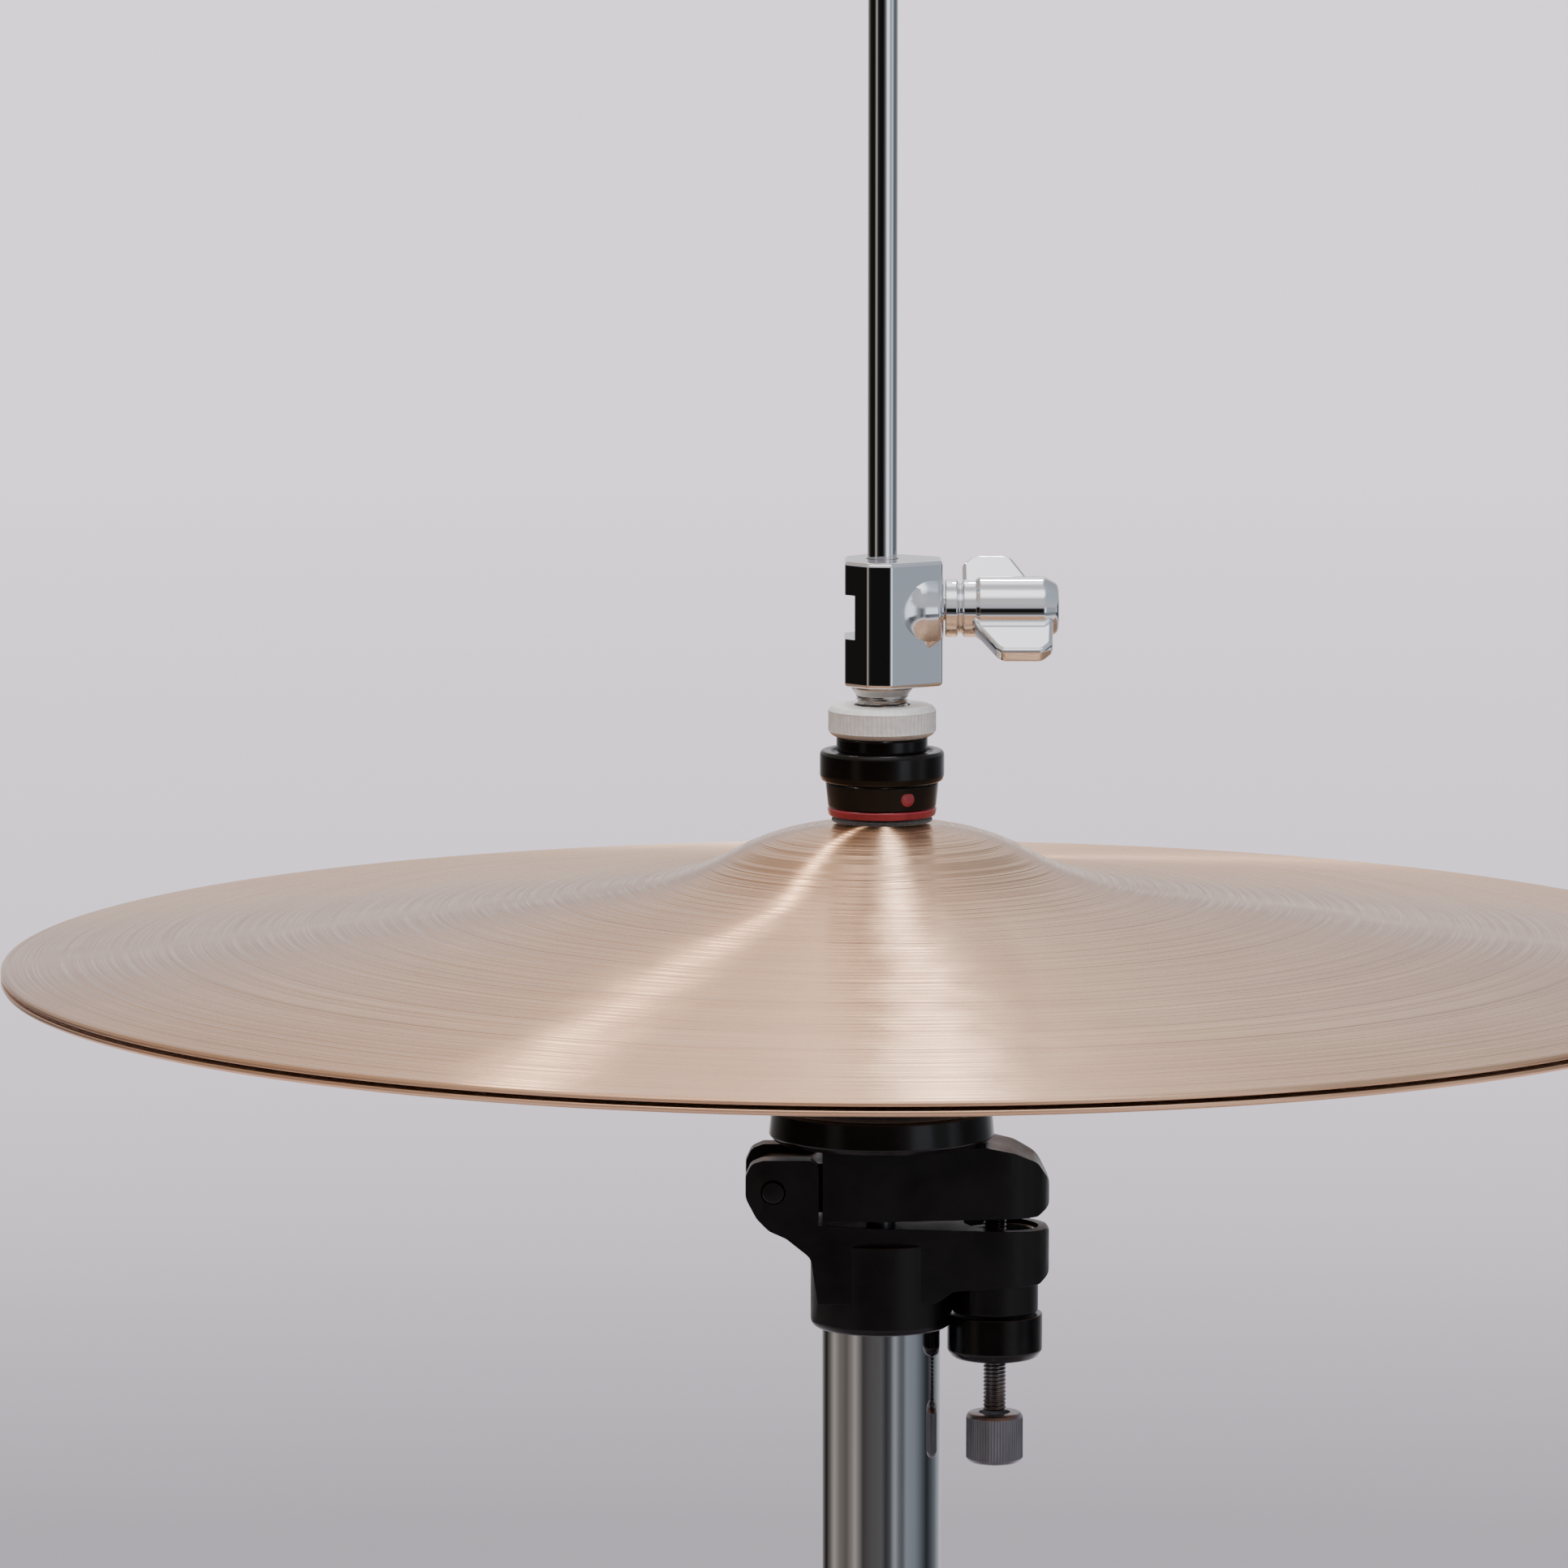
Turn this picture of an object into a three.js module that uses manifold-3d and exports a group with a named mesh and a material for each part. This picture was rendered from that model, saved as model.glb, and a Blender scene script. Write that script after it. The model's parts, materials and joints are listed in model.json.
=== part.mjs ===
// A hi-hat: two 14 inch cymbals on a tripod pedal stand, every piece its own solid.
// Millimetres, +Z up. The origin is on the stand's axis at floor level and the pedal's heel is
// towards -Y. Drawn with the pedal pressed, so that the cymbals are closed to a 1 mm gap.
import * as THREE from 'three';
import { mergeVertices } from 'three/addons/utils/BufferGeometryUtils.js';
import Module from 'manifold-3d';

const wasm = await Module();
wasm.setup();

// ---- Driving dimensions -------------------------------------------------------------------
const GAP = 0.3; // left between pieces that touch
const ROUND = 16; // sides of most round pieces
const SMALL = 12; // sides of pins and rivets
const RIM_Z = 840; // top cymbal's rim above the floor
const CYMBAL_R = 177.8; // 14 inch cymbals
const CYMBAL_THICK = 1;
const RIM_GAP = 1; // between the two rims
const ROD_R = 3;
const TOP_TUBE_R = 12.1;
const BASE_TUBE_R = 15;
const BASE_TUBE_BORE = 13.3;
const BASE_TUBE_Z = [178, 575];

const PIVOT = { x: -22, z: -46 }; // seat's tilting pin, from the rim plane
const TILT_SCREW_X = 23.1;
const WING_AXIS_Z = 71.2; // clutch wing nut, from the rim plane

const LEG_PIVOT_R = 28; // leg and brace pins from the stand's axis
const LEG_PIVOT_Z = 430;
const BRACE_PIVOT_Z = 218;
const FOOT_R = 300;
const FOOT_Z = 12;
const LEG_AZIMUTHS = [90, 210, 330];
const LEG_LEAN = Math.atan2(FOOT_R - LEG_PIVOT_R, LEG_PIVOT_Z - FOOT_Z);
const LEG_LENGTH = Math.hypot(FOOT_R - LEG_PIVOT_R, LEG_PIVOT_Z - FOOT_Z);
const BRACE_LENGTH = (LEG_PIVOT_Z - BRACE_PIVOT_Z) / 2 / Math.cos(LEG_LEAN);

const HEEL_PIN = { y: -262, z: 35 };
const TOE_PIN = { y: 2.4, z: 73 };
const CHAIN_LENGTH = 45;
const CHAIN_LINKS = 5;
const CHAIN_PIN_Z = TOE_PIN.z + Math.sqrt(CHAIN_LENGTH ** 2 - TOE_PIN.y ** 2);
const BOARD_SLOPE = Math.atan2(TOE_PIN.z - HEEL_PIN.z, TOE_PIN.y - HEEL_PIN.y);
const BOARD_REACH = Math.hypot(TOE_PIN.z - HEEL_PIN.z, TOE_PIN.y - HEEL_PIN.y);
const RADIUS_ROD = { x: 30, r: 3.5, z: 9.5, heelY: -306, frameY: -6 };

// ---- Materials ----------------------------------------------------------------------------
function material(color, roughness, metalness) {
  return new THREE.MeshStandardMaterial({ color, roughness, metalness });
}
const chrome = () => material(0xc3c6cc, 0.12, 1);
const satinSteel = () => material(0xb1b2b4, 0.35, 1);
const darkSteel = () => material(0x3c3d41, 0.4, 1);
const bronze = () => material(0xb9a184, 0.34, 1);
const blackPaint = () => material(0x131316, 0.3, 0);
const blackPlastic = () => material(0x18181b, 0.25, 0);
const redPlastic = () => material(0xa5232c, 0.3, 0);
const blackFelt = () => material(0x1d1c1d, 0.95, 0);
const rubber = () => material(0x17171a, 0.75, 0);
const nylon = () => material(0x2b2b2e, 0.5, 0);

// ---- Solids -------------------------------------------------------------------------------
function solid(geometry, matrix) {
  const plain = geometry.clone();
  plain.deleteAttribute('normal');
  plain.deleteAttribute('uv');
  if (matrix) plain.applyMatrix4(matrix);
  const merged = mergeVertices(plain, 1e-4);
  return new wasm.Manifold(new wasm.Mesh({
    numProp: 3,
    vertProperties: Float32Array.from(merged.attributes.position.array),
    triVerts: Uint32Array.from(merged.index.array),
  }));
}

function move(x, y, z) {
  return new THREE.Matrix4().makeTranslation(x, y, z);
}

// A box between two corners.
function box(x, y, z) {
  const shape = new THREE.BoxGeometry(x[1] - x[0], y[1] - y[0], z[1] - z[0]);
  return solid(shape, move((x[0] + x[1]) / 2, (y[0] + y[1]) / 2, (z[0] + z[1]) / 2));
}

// A solid of revolution about Z, from [radius, z] corners that start and end on the axis.
function turned(corners, sides = ROUND) {
  const points = corners.map(([r, z]) => new THREE.Vector2(r, z));
  return solid(new THREE.LatheGeometry(points, sides), new THREE.Matrix4().makeRotationX(Math.PI / 2));
}

function disc(r, z0, z1, sides = ROUND) {
  return turned([[0, z0], [r, z0], [r, z1], [0, z1]], sides);
}

function washer(r, bore, z0, z1, sides = ROUND) {
  return turned([[bore, z0], [r, z0], [r, z1], [bore, z1], [bore, z0]], sides);
}

// A pin along X at height z and depth y.
function alongX(r, x0, x1, y, z, sides = ROUND) {
  const turn = new THREE.Matrix4().makeRotationY(Math.PI / 2);
  return solid(new THREE.CylinderGeometry(r, r, x1 - x0, sides),
    move((x0 + x1) / 2, y, z).multiply(turn).multiply(new THREE.Matrix4().makeRotationX(Math.PI / 2)));
}

// A pin along Y at height z and distance x.
function alongY(r, y0, y1, x, z, sides = ROUND) {
  return solid(new THREE.CylinderGeometry(r, r, y1 - y0, sides), move(x, (y0 + y1) / 2, z));
}

// A flat outline of [a, b] corners; plate extrudes it along Z, profileXZ along Y, profileYZ along X.
function outline(corners) {
  return new THREE.Shape(corners.map(([a, b]) => new THREE.Vector2(a, b)));
}

function plate(shape, z0, z1, bevel = 0) {
  const geometry = new THREE.ExtrudeGeometry(shape, {
    depth: z1 - z0 - 2 * bevel, bevelEnabled: bevel > 0, bevelSize: bevel, bevelThickness: bevel,
    bevelOffset: -bevel, bevelSegments: 1, curveSegments: 8,
  });
  return solid(geometry, move(0, 0, z0 + bevel));
}

function profileXZ(shape, y0, y1) {
  const geometry = new THREE.ExtrudeGeometry(shape, {
    depth: y1 - y0, bevelEnabled: false, curveSegments: 6,
  });
  return solid(geometry, move(0, y1, 0).multiply(new THREE.Matrix4().makeRotationX(Math.PI / 2)));
}

function profileYZ(shape, x0, x1) {
  const turn = new THREE.Matrix4().makeBasis(
    new THREE.Vector3(0, 1, 0), new THREE.Vector3(0, 0, 1), new THREE.Vector3(1, 0, 0));
  const geometry = new THREE.ExtrudeGeometry(shape, { depth: x1 - x0, bevelEnabled: false });
  return solid(geometry, move(x0, 0, 0).multiply(turn));
}

function named(name, manifold, look) {
  const { numProp, vertProperties, triVerts } = manifold.getMesh();
  const positions = new Float32Array((vertProperties.length / numProp) * 3);
  for (let i = 0; i < positions.length / 3; i += 1) {
    for (let k = 0; k < 3; k += 1) positions[3 * i + k] = vertProperties[numProp * i + k];
  }
  const geometry = new THREE.BufferGeometry();
  geometry.setAttribute('position', new THREE.BufferAttribute(positions, 3));
  geometry.setIndex(new THREE.BufferAttribute(Uint32Array.from(triVerts), 1));
  geometry.computeVertexNormals();
  const mesh = new THREE.Mesh(geometry, look);
  mesh.name = name;
  return mesh;
}

function groupAt(x, y, z, ...children) {
  const group = new THREE.Group();
  group.position.set(x, y, z);
  group.add(...children);
  return group;
}

// ---- Cymbals (heights from the top cymbal's rim plane) ---------------------------------------
const BELL = [[6.2, 27.7], [12, 27.3], [20, 25.8], [27, 23.3], [33.4, 20], [40, 17.3], [50, 15]];

function cymbalSide() {
  const bell = new THREE.SplineCurve(BELL.map(([r, z]) => new THREE.Vector2(r, z))).getPoints(6);
  return [...bell.map((p) => [p.x, p.y]), [115, 7.4], [CYMBAL_R, 0]];
}

function cymbal(name, flip) {
  const outer = cymbalSide();
  const inner = outer.map(([r, z]) => [r, z - CYMBAL_THICK]).reverse();
  const place = ([r, z]) => (flip ? [r, -2 * CYMBAL_THICK - RIM_GAP - z] : [r, z]);
  const ring = [...outer, ...inner, outer[0]].map(place);
  return named(name, turned(flip ? ring : ring.reverse(), 36), bronze());
}

// ---- Clutch ---------------------------------------------------------------------------------
const SLEEVE_R = 5;
const BODY_SIDE = [[12.1, 4.2], [2, 10.5], [1, 10.8], [-2.6, 10.2], [-7.6, 5.6]];

function clutchBody() {
  const side = BODY_SIDE.concat(BODY_SIDE.map(([x, y]) => [x, -y]).reverse());
  const block = plate(outline(side), 55.8, 81.3, 1.2);
  const boss = alongX(6, 0, 12.3, 0, WING_AXIS_Z);
  const notch = box([-9, -5.6], [-12, 12], [65.6, 74.5]);
  const eyePocket = disc(5.7, 67, 75.4);
  const bore = disc(ROD_R + GAP, 50, 90);
  const boltBore = alongX(2.9, 0, 14, 0, WING_AXIS_Z);
  return named('clutch_body',
    block.add(boss).subtract(notch).subtract(eyePocket).subtract(bore).subtract(boltBore), chrome());
}

function clutchEyeBolt() {
  const eye = disc(5.3, 67.4, 75);
  const shank = alongX(2.5, 4, 32, 0, WING_AXIS_Z, SMALL);
  return named('clutch_eye_bolt', eye.add(shank).subtract(disc(ROD_R + GAP, 60, 80)), satinSteel());
}

function wing(x0, x1, side) {
  const tip = 16 * side;
  const root = 4 * side;
  const flat = outline([[x0, root], [x0, tip - 3 * side], [x0 + 3, tip], [x1 - 5, tip],
    [x1 - 3, tip - 2 * side], [x1, root]]);
  return plate(flat, -1.5, 1.5);
}

function clutchWingNut() {
  const hub = turned([[0, 12.6], [5.6, 12.6], [5.6, 15], [5, 15.5], [5.6, 16], [6, 19], [6, 33.5],
    [4, 35.5], [0, 35.5]]);
  const bore = disc(2.8, 12, 32.4);
  const upright = new THREE.Matrix4().makeRotationY(Math.PI / 2);
  const nut = hub.subtract(bore).transform(upright.elements);
  const wings = wing(16.5, 29, 1).add(wing(19.5, 33.5, -1));
  const leaned = wings.rotate([30, 0, 0]);
  const hole = alongX(2.8, 12, 32.4, 0, 0);
  return named('clutch_wing_nut', nut.add(leaned).subtract(hole).translate([0, 0, WING_AXIS_Z]), chrome());
}

function clutchStack() {
  const bore = ROD_R + GAP;
  const sleeve = turned([[bore, 11], [SLEEVE_R, 11], [SLEEVE_R, 44], [5.3, 44.5], [5.3, 54],
    [6.25, 55.5], [bore, 55.5], [bore, 11]]);
  const hole = 5.7;
  const lockNut = turned([[hole, 45.4], [9.9, 45.4], [10.9, 46.4], [10.9, 50.7], [9.9, 51.7], [hole, 51.7],
    [hole, 45.4]]);
  const spacer = washer(9.25, hole, 42.2, 45.1);
  const collar = turned([[hole, 36.3], [12.3, 36.3], [12.6, 37.5], [12.6, 41.3], [11.8, 42.5], [9.7, 42.5],
    [9.7, 41.9], [hole, 41.9], [hole, 36.3]]);
  const housing = turned([[9.1, 31.2], [10.95, 31.2], [11.45, 36], [hole, 36], [hole, 34.2], [9.1, 34.2],
    [9.1, 31.2]]);
  const ring = washer(11.1, 9.1, 29.3, 30.9);
  const upperFelt = turned([[5.7, 28], [10.9, 28], [10.9, 28.75], [8.4, 28.75], [8.4, 33.4], [5.7, 33.4],
    [5.7, 28]]);
  const lowerFelt = washer(11, 5.7, 20.5, 26.3);
  const bottomNut = turned([[5.3, 12], [9, 12], [10, 13], [10, 19], [9.4, 19.9], [5.3, 19.9], [5.3, 12]]);
  return [
    named('clutch_sleeve', sleeve, satinSteel()),
    named('clutch_lock_nut', lockNut, satinSteel()),
    named('clutch_spacer', spacer, blackPlastic()),
    named('clutch_collar', collar, blackPlastic()),
    named('clutch_housing', housing, blackPlastic()),
    named('clutch_index_ring', ring, redPlastic()),
    named('clutch_upper_felt', upperFelt, blackFelt()),
    named('clutch_lower_felt', lowerFelt, blackFelt()),
    named('clutch_bottom_nut', bottomNut, satinSteel()),
  ];
}

// ---- Bottom cymbal's seat and tilter (heights from the rim plane) ------------------------------
const SEAT_TOP = -37.3; // seat plate's flat top
const SEAT_UNDER = -52;

function tilterPlan(z0, z1) {
  const plan = new THREE.Shape();
  plan.moveTo(-28, -11);
  plan.lineTo(-24, -12.7);
  plan.lineTo(0, -13);
  plan.lineTo(24.1, -10);
  plan.absarc(24.1, 0, 10, -Math.PI / 2, Math.PI / 2, false);
  plan.lineTo(0, 13);
  plan.lineTo(-24, 12.7);
  plan.lineTo(-28, 11);
  return plate(plan, z0, z1);
}

function tilterBody() {
  const side = outline([[-27.6, -43], [-26.5, -40.5], [-24, -39.5], [-14.5, -39.5], [-12.8, -41],
    [-12.8, -52.8], [34.1, -55], [34.1, -64], [32, -66], [14, -66], [12, -68], [-13, -68],
    [-14.8, -58.8], [-19.4, -55.5], [-22.8, -54], [-25.2, -52], [-27.6, -48]]);
  const block = profileXZ(side, -15, 15).intersect(tilterPlan(-70, -38));
  const sleeve = turned([[0, -75.5], [13.4, -75.5], [14.4, -74.5], [14.4, -57], [0, -57]]);
  const boss = disc(9, -72.6, -60).translate([TILT_SCREW_X, 0, 0]);
  const tubeBore = disc(TOP_TUBE_R + GAP, -80, -58);
  const knuckleRoom = box([-30, -12.7], [-7.6, 7.6], [-51.6, -30]);
  const screwHole = disc(2.75, -80, -50).translate([TILT_SCREW_X, 0, 0]);
  const nutRoom = disc(10, -80, -72.5).translate([TILT_SCREW_X, 0, 0]);
  const screwRecess = disc(7.6, -57, -50).translate([TILT_SCREW_X, 0, 0]);
  const pinHole = alongY(2.5, -20, 20, PIVOT.x, PIVOT.z);
  const rodHole = disc(4.6, -60, -50);
  return named('tilter_body', block.add(sleeve).add(boss).subtract(tubeBore).subtract(knuckleRoom)
    .subtract(screwHole).subtract(nutRoom).subtract(screwRecess).subtract(pinHole).subtract(rodHole),
  blackPaint());
}

function seatPlate() {
  const side = outline([[-12, SEAT_TOP], [21, SEAT_TOP], [27, -38.4], [31.5, -40.6], [33.8, -43], [34.1, -50],
    [32, SEAT_UNDER], [-12, SEAT_UNDER]]);
  const block = profileXZ(side, -15, 15).intersect(tilterPlan(-60, -30));
  const knuckle = alongY(5, -7.2, 7.2, PIVOT.x, PIVOT.z)
    .add(box([PIVOT.x, -10], [-7.2, 7.2], [-51, -41]));
  const pinHole = alongY(2.5, -20, 20, PIVOT.x, PIVOT.z);
  const rodHole = disc(4.6, -60, -30);
  return named('seat_plate', block.add(knuckle).subtract(pinHole).subtract(rodHole), blackPaint());
}

function seatStack() {
  const cup = turned([[6, -37], [20.9, -37], [22.9, -35], [22.35, -30.5], [20.5, -30.5],
    [20.5, -35.7], [6, -35.7], [6, -37]], 24);
  const sleeveProfile = [[4.6, -37], [5.7, -37], [5.7, -18.6], [5.2, -18], [4.6, -18], [4.6, -37]];
  return [
    named('seat_cup', cup, blackPlastic()),
    named('seat_felt', washer(19.9, 6.1, -35.4, -31), blackFelt()),
    named('seat_sleeve', turned(sleeveProfile), nylon()),
  ];
}

function tilterScrew() {
  const stem = disc(2.35, -93.2, SEAT_UNDER - 0.4, SMALL);
  const lockNut = turned([[2.75, -82], [8.5, -82], [9.7, -80.8], [9.7, -72.9], [2.75, -72.9], [2.75, -82]]);
  const knob = turned([[0, -103.7], [5.2, -103.7], [5.8, -103.1], [5.8, -94.1], [5.2, -93.5], [0, -93.5]]);
  return groupAt(TILT_SCREW_X, 0, 0,
    named('tilter_screw', stem, darkSteel()),
    named('tilter_lock_nut', lockNut, blackPlastic()),
    named('tilter_knob', knob, satinSteel()));
}

function tilterPivotPin() {
  return named('tilter_pivot_pin', alongY(2.2, -13.6, 13.6, PIVOT.x, PIVOT.z, SMALL), darkSteel());
}

// ---- Tubes, rods and height clamp ---------------------------------------------------------------
const CLAMP = { z0: 545, z1: 575, earX: 28 };

function tubes() {
  return [
    named('upper_tube', washer(TOP_TUBE_R, 10.1, 420, RIM_Z - 58.3), chrome()),
    named('base_tube', washer(BASE_TUBE_R, BASE_TUBE_BORE, ...BASE_TUBE_Z), chrome()),
  ];
}

function rods() {
  const joint = 305;
  return [
    named('pull_rod', turned([[0, joint + GAP], [ROD_R, joint + GAP], [ROD_R, RIM_Z + 234.2],
      [ROD_R - 0.8, RIM_Z + 235], [0, RIM_Z + 235]]), chrome()),
    named('lower_rod', disc(ROD_R, 127.3, joint - GAP), satinSteel()),
    named('rod_coupler', disc(5.8, joint - 15, joint + 15, 6)
      .subtract(disc(ROD_R + GAP, joint - 20, joint + 20)), satinSteel()),
    named('spring_collar', washer(11, ROD_R + GAP, 250.5, 256.5), satinSteel()),
  ];
}

function heightClamp() {
  const middle = (CLAMP.z0 + CLAMP.z1) / 2;
  const ring = disc(20, CLAMP.z0, CLAMP.z1);
  const ears = box([14, CLAMP.earX + 10], [-9, 9], [CLAMP.z0 + 4, CLAMP.z1 - 4]);
  const slot = box([13, 50], [-1.5, 1.5], [CLAMP.z0 - 1, CLAMP.z1 + 1]);
  const bore = disc(BASE_TUBE_R + GAP, CLAMP.z0 - 1, CLAMP.z1 + 1);
  const boltHole = alongY(3.2, -20, 20, CLAMP.earX, middle);
  const bushing = turned([[TOP_TUBE_R + GAP, 540], [13, 540], [13, 575.3], [14.8, 575.3], [14.8, 577.6],
    [TOP_TUBE_R + GAP, 577.6], [TOP_TUBE_R + GAP, 540]]);
  return [
    named('height_clamp', ring.add(ears).subtract(slot).subtract(bore).subtract(boltHole), blackPaint()),
    named('height_bushing', bushing, nylon()),
  ];
}

// A wing bolt along Y with its head at the -Y end; the thread's tip is at y = 0.
function wingBolt(name, threadLength) {
  const head = alongY(6, -threadLength - 15, -threadLength, 0, 0);
  const thread = alongY(2.9, -threadLength - 1, 0, 0, 0, SMALL);
  const flat = outline([[-5, 3], [-8, 3], [-17, 9], [-16, 13], [-5, 8], [5, 8], [16, 13], [17, 9],
    [8, 3], [5, 3], [5, -4], [-5, -4]]);
  const wings = profileXZ(flat, -threadLength - 14, -threadLength - 10);
  return named(name, head.add(thread).add(wings), chrome());
}

function memoryLock() {
  const z0 = 578;
  const z1 = 592;
  const ring = disc(18, z0, z1).add(box([12, 29], [-7, 7], [z0, z1]));
  const slot = box([11, 40], [-1.2, 1.2], [z0 - 1, z1 + 1]);
  const bore = disc(TOP_TUBE_R + GAP, z0 - 1, z1 + 1);
  return named('memory_lock', ring.subtract(slot).subtract(bore), satinSteel());
}

// ---- Tripod ---------------------------------------------------------------------------------------
// A ring round the base tube with one lug for each leg; a hole across each lug takes a rivet.
function tripodRing(z, lugHalfWidth, halfHeight) {
  let ring = disc(21, z - halfHeight, z + halfHeight);
  LEG_AZIMUTHS.forEach((azimuth) => {
    const lug = box([15, LEG_PIVOT_R + 7], [-lugHalfWidth, lugHalfWidth], [z - 7, z + 7]);
    const hole = alongY(3.3, -20, 20, LEG_PIVOT_R, z, SMALL);
    ring = ring.add(lug.subtract(hole).rotate([0, 0, azimuth]));
  });
  return ring;
}

function legBracket() {
  const bore = disc(BASE_TUBE_R + GAP, 100, 600);
  return named('leg_bracket', tripodRing(BRACE_PIVOT_Z, 6, 9.5).subtract(bore), blackPaint());
}

function legCollar() {
  const bore = disc(BASE_TUBE_R + 0.4, 100, 600);
  const boss = alongY(7.5, -31, -15, 0, LEG_PIVOT_Z);
  const thread = alongY(3.2, -40, -10, 0, LEG_PIVOT_Z, SMALL);
  return named('leg_collar',
    tripodRing(LEG_PIVOT_Z, 9, 15).add(boss).subtract(bore).subtract(thread), blackPaint());
}

// Legs and braces are drawn from their pins: a leg hangs along -Z, a brace stands along +Z.
const STRIP = { half: 6.5, thick: 2.5 };

function strips(inner, z0, z1) {
  const outer = inner + STRIP.thick;
  const side = new THREE.Shape();
  side.moveTo(-STRIP.half, z0);
  side.absarc(0, z0, STRIP.half, Math.PI, 2 * Math.PI, false);
  side.absarc(0, z1, STRIP.half, 0, Math.PI, false);
  return profileXZ(side, inner, outer).add(profileXZ(side, -outer, -inner));
}

function leg(name) {
  const end = LEG_LENGTH;
  const rivet = alongY(2.9, -13, 13, 0, 0, SMALL);
  const braceHead = (y0, y1) => alongY(4, y0, y1, 0, -BRACE_LENGTH, SMALL);
  const braceHeads = braceHead(11, 13).add(braceHead(-13, -11));
  const block = box([-6.5, 6.5], [-10, 10], [-(end - 30), -(end - 62)]);
  const tongue = box([-6.5, 6.5], [-6, 6], [-(end - 4), -(end - 34)]);
  const sides = strips(9.3, -(end - 40), 0);
  return named(name, sides.add(rivet).add(braceHeads).add(block).add(tongue), chrome());
}

function foot(name) {
  const end = LEG_LENGTH;
  const boot = turned([[0, -(end + 24)], [15, -(end + 24)], [15, -(end - 22)], [13.5, -(end - 25)],
    [0, -(end - 25)]]);
  const pocket = box([-6.8, 6.8], [-6.3, 6.3], [-(end - 3.7), -(end - 40)]);
  const aboveFloor = box([0, 400], [-50, 50], [-LEG_PIVOT_Z, 0])
    .rotate([0, THREE.MathUtils.radToDeg(LEG_LEAN), 0]);
  return named(name, boot.subtract(pocket).intersect(aboveFloor), rubber());
}

function brace(name) {
  const rivet = alongY(2.9, -9.8, 9.8, 0, 0, SMALL);
  const spacer = alongY(4, -8, 8, 0, BRACE_LENGTH, SMALL);
  return named(name, strips(6.3, 0, BRACE_LENGTH).add(rivet).add(spacer), chrome());
}

function tripodLeg(azimuth, number) {
  const legSide = groupAt(LEG_PIVOT_R, 0, LEG_PIVOT_Z, leg(`leg_${number}`), foot(`foot_${number}`));
  legSide.rotation.y = -LEG_LEAN;
  const braceSide = groupAt(LEG_PIVOT_R, 0, BRACE_PIVOT_Z, brace(`brace_${number}`));
  braceSide.rotation.y = LEG_LEAN;
  const whole = groupAt(0, 0, 0, legSide, braceSide);
  whole.rotation.z = THREE.MathUtils.degToRad(azimuth);
  return whole;
}

// ---- Frame and return spring -------------------------------------------------------------------------
const UPRIGHT_X = [34, 42];
const SPRING = { r: 8.5, wire: 1.1, z0: 209.7, z1: 249.1, turns: 6 };

class Helix extends THREE.Curve {
  getPoint(t) {
    const turn = 2 * Math.PI * SPRING.turns * t;
    const height = SPRING.z0 + (SPRING.z1 - SPRING.z0) * t;
    return new THREE.Vector3(SPRING.r * Math.cos(turn), SPRING.r * Math.sin(turn), height);
  }
}

function returnSpring() {
  const section = new THREE.Shape().absarc(0, 0, SPRING.wire, 0, 2 * Math.PI);
  const coil = new THREE.ExtrudeGeometry(section, {
    steps: SPRING.turns * 9, curveSegments: 3, extrudePath: new Helix(),
  });
  return named('return_spring', solid(coil), darkSteel());
}

function springAdjuster() {
  const bore = 3.8;
  const dial = turned([[bore, 160], [16, 160], [17, 161], [17, 171.5], [16, 172.5], [10, 172.5], [10, 208.3],
    [bore, 208.3], [bore, 160]]);
  return named('spring_adjuster', dial, blackPlastic());
}

function frameYoke() {
  const bore = BASE_TUBE_R + GAP;
  const shell = turned([[10.3, 173], [22, 173], [22, 206], [bore, 206], [bore, 177.7], [10.3, 177.7],
    [10.3, 173]]);
  const reach = UPRIGHT_X[0] - GAP;
  const arms = box([18, reach], [-9, 9], [178, 202]).add(box([-reach, -18], [-9, 9], [178, 202]));
  return named('frame_yoke', shell.add(arms), blackPaint());
}

function upright(name, side) {
  const flat = outline([[-14, 16.3], [14, 16.3], [11, 60], [9, 120], [10, 204], [-10, 204], [-9, 120],
    [-11, 60]]);
  const [near, far] = side > 0 ? UPRIGHT_X : [-UPRIGHT_X[1], -UPRIGHT_X[0]];
  return named(name, profileYZ(flat, near, far), blackPaint());
}

function crossbar() {
  const bar = plate(outline([[-60, -14], [60, -14], [60, 14], [-60, 14]]), 4, 16, 1.5);
  const sockets = [-RADIUS_ROD.x, RADIUS_ROD.x].map((x) => (
    alongY(RADIUS_ROD.r + GAP, -20, RADIUS_ROD.frameY + GAP, x, RADIUS_ROD.z, SMALL)));
  return named('frame_crossbar', bar.subtract(sockets[0]).subtract(sockets[1]), blackPaint());
}

function floorPad() {
  return named('floor_pad', plate(outline([[-58, -12], [58, -12], [58, 12], [-58, 12]]), 0, 3.7), rubber());
}

function radiusRod() {
  const { x, r, z, heelY, frameY } = RADIUS_ROD;
  let rod = alongX(r, -x, x, heelY, z, SMALL);
  [-x, x].forEach((side) => {
    const elbow = new THREE.SphereGeometry(r, SMALL, 6);
    rod = rod.add(alongY(r, heelY, frameY, side, z, SMALL)).add(solid(elbow, move(side, heelY, z)));
  });
  return named('radius_rod', rod, satinSteel());
}

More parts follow.
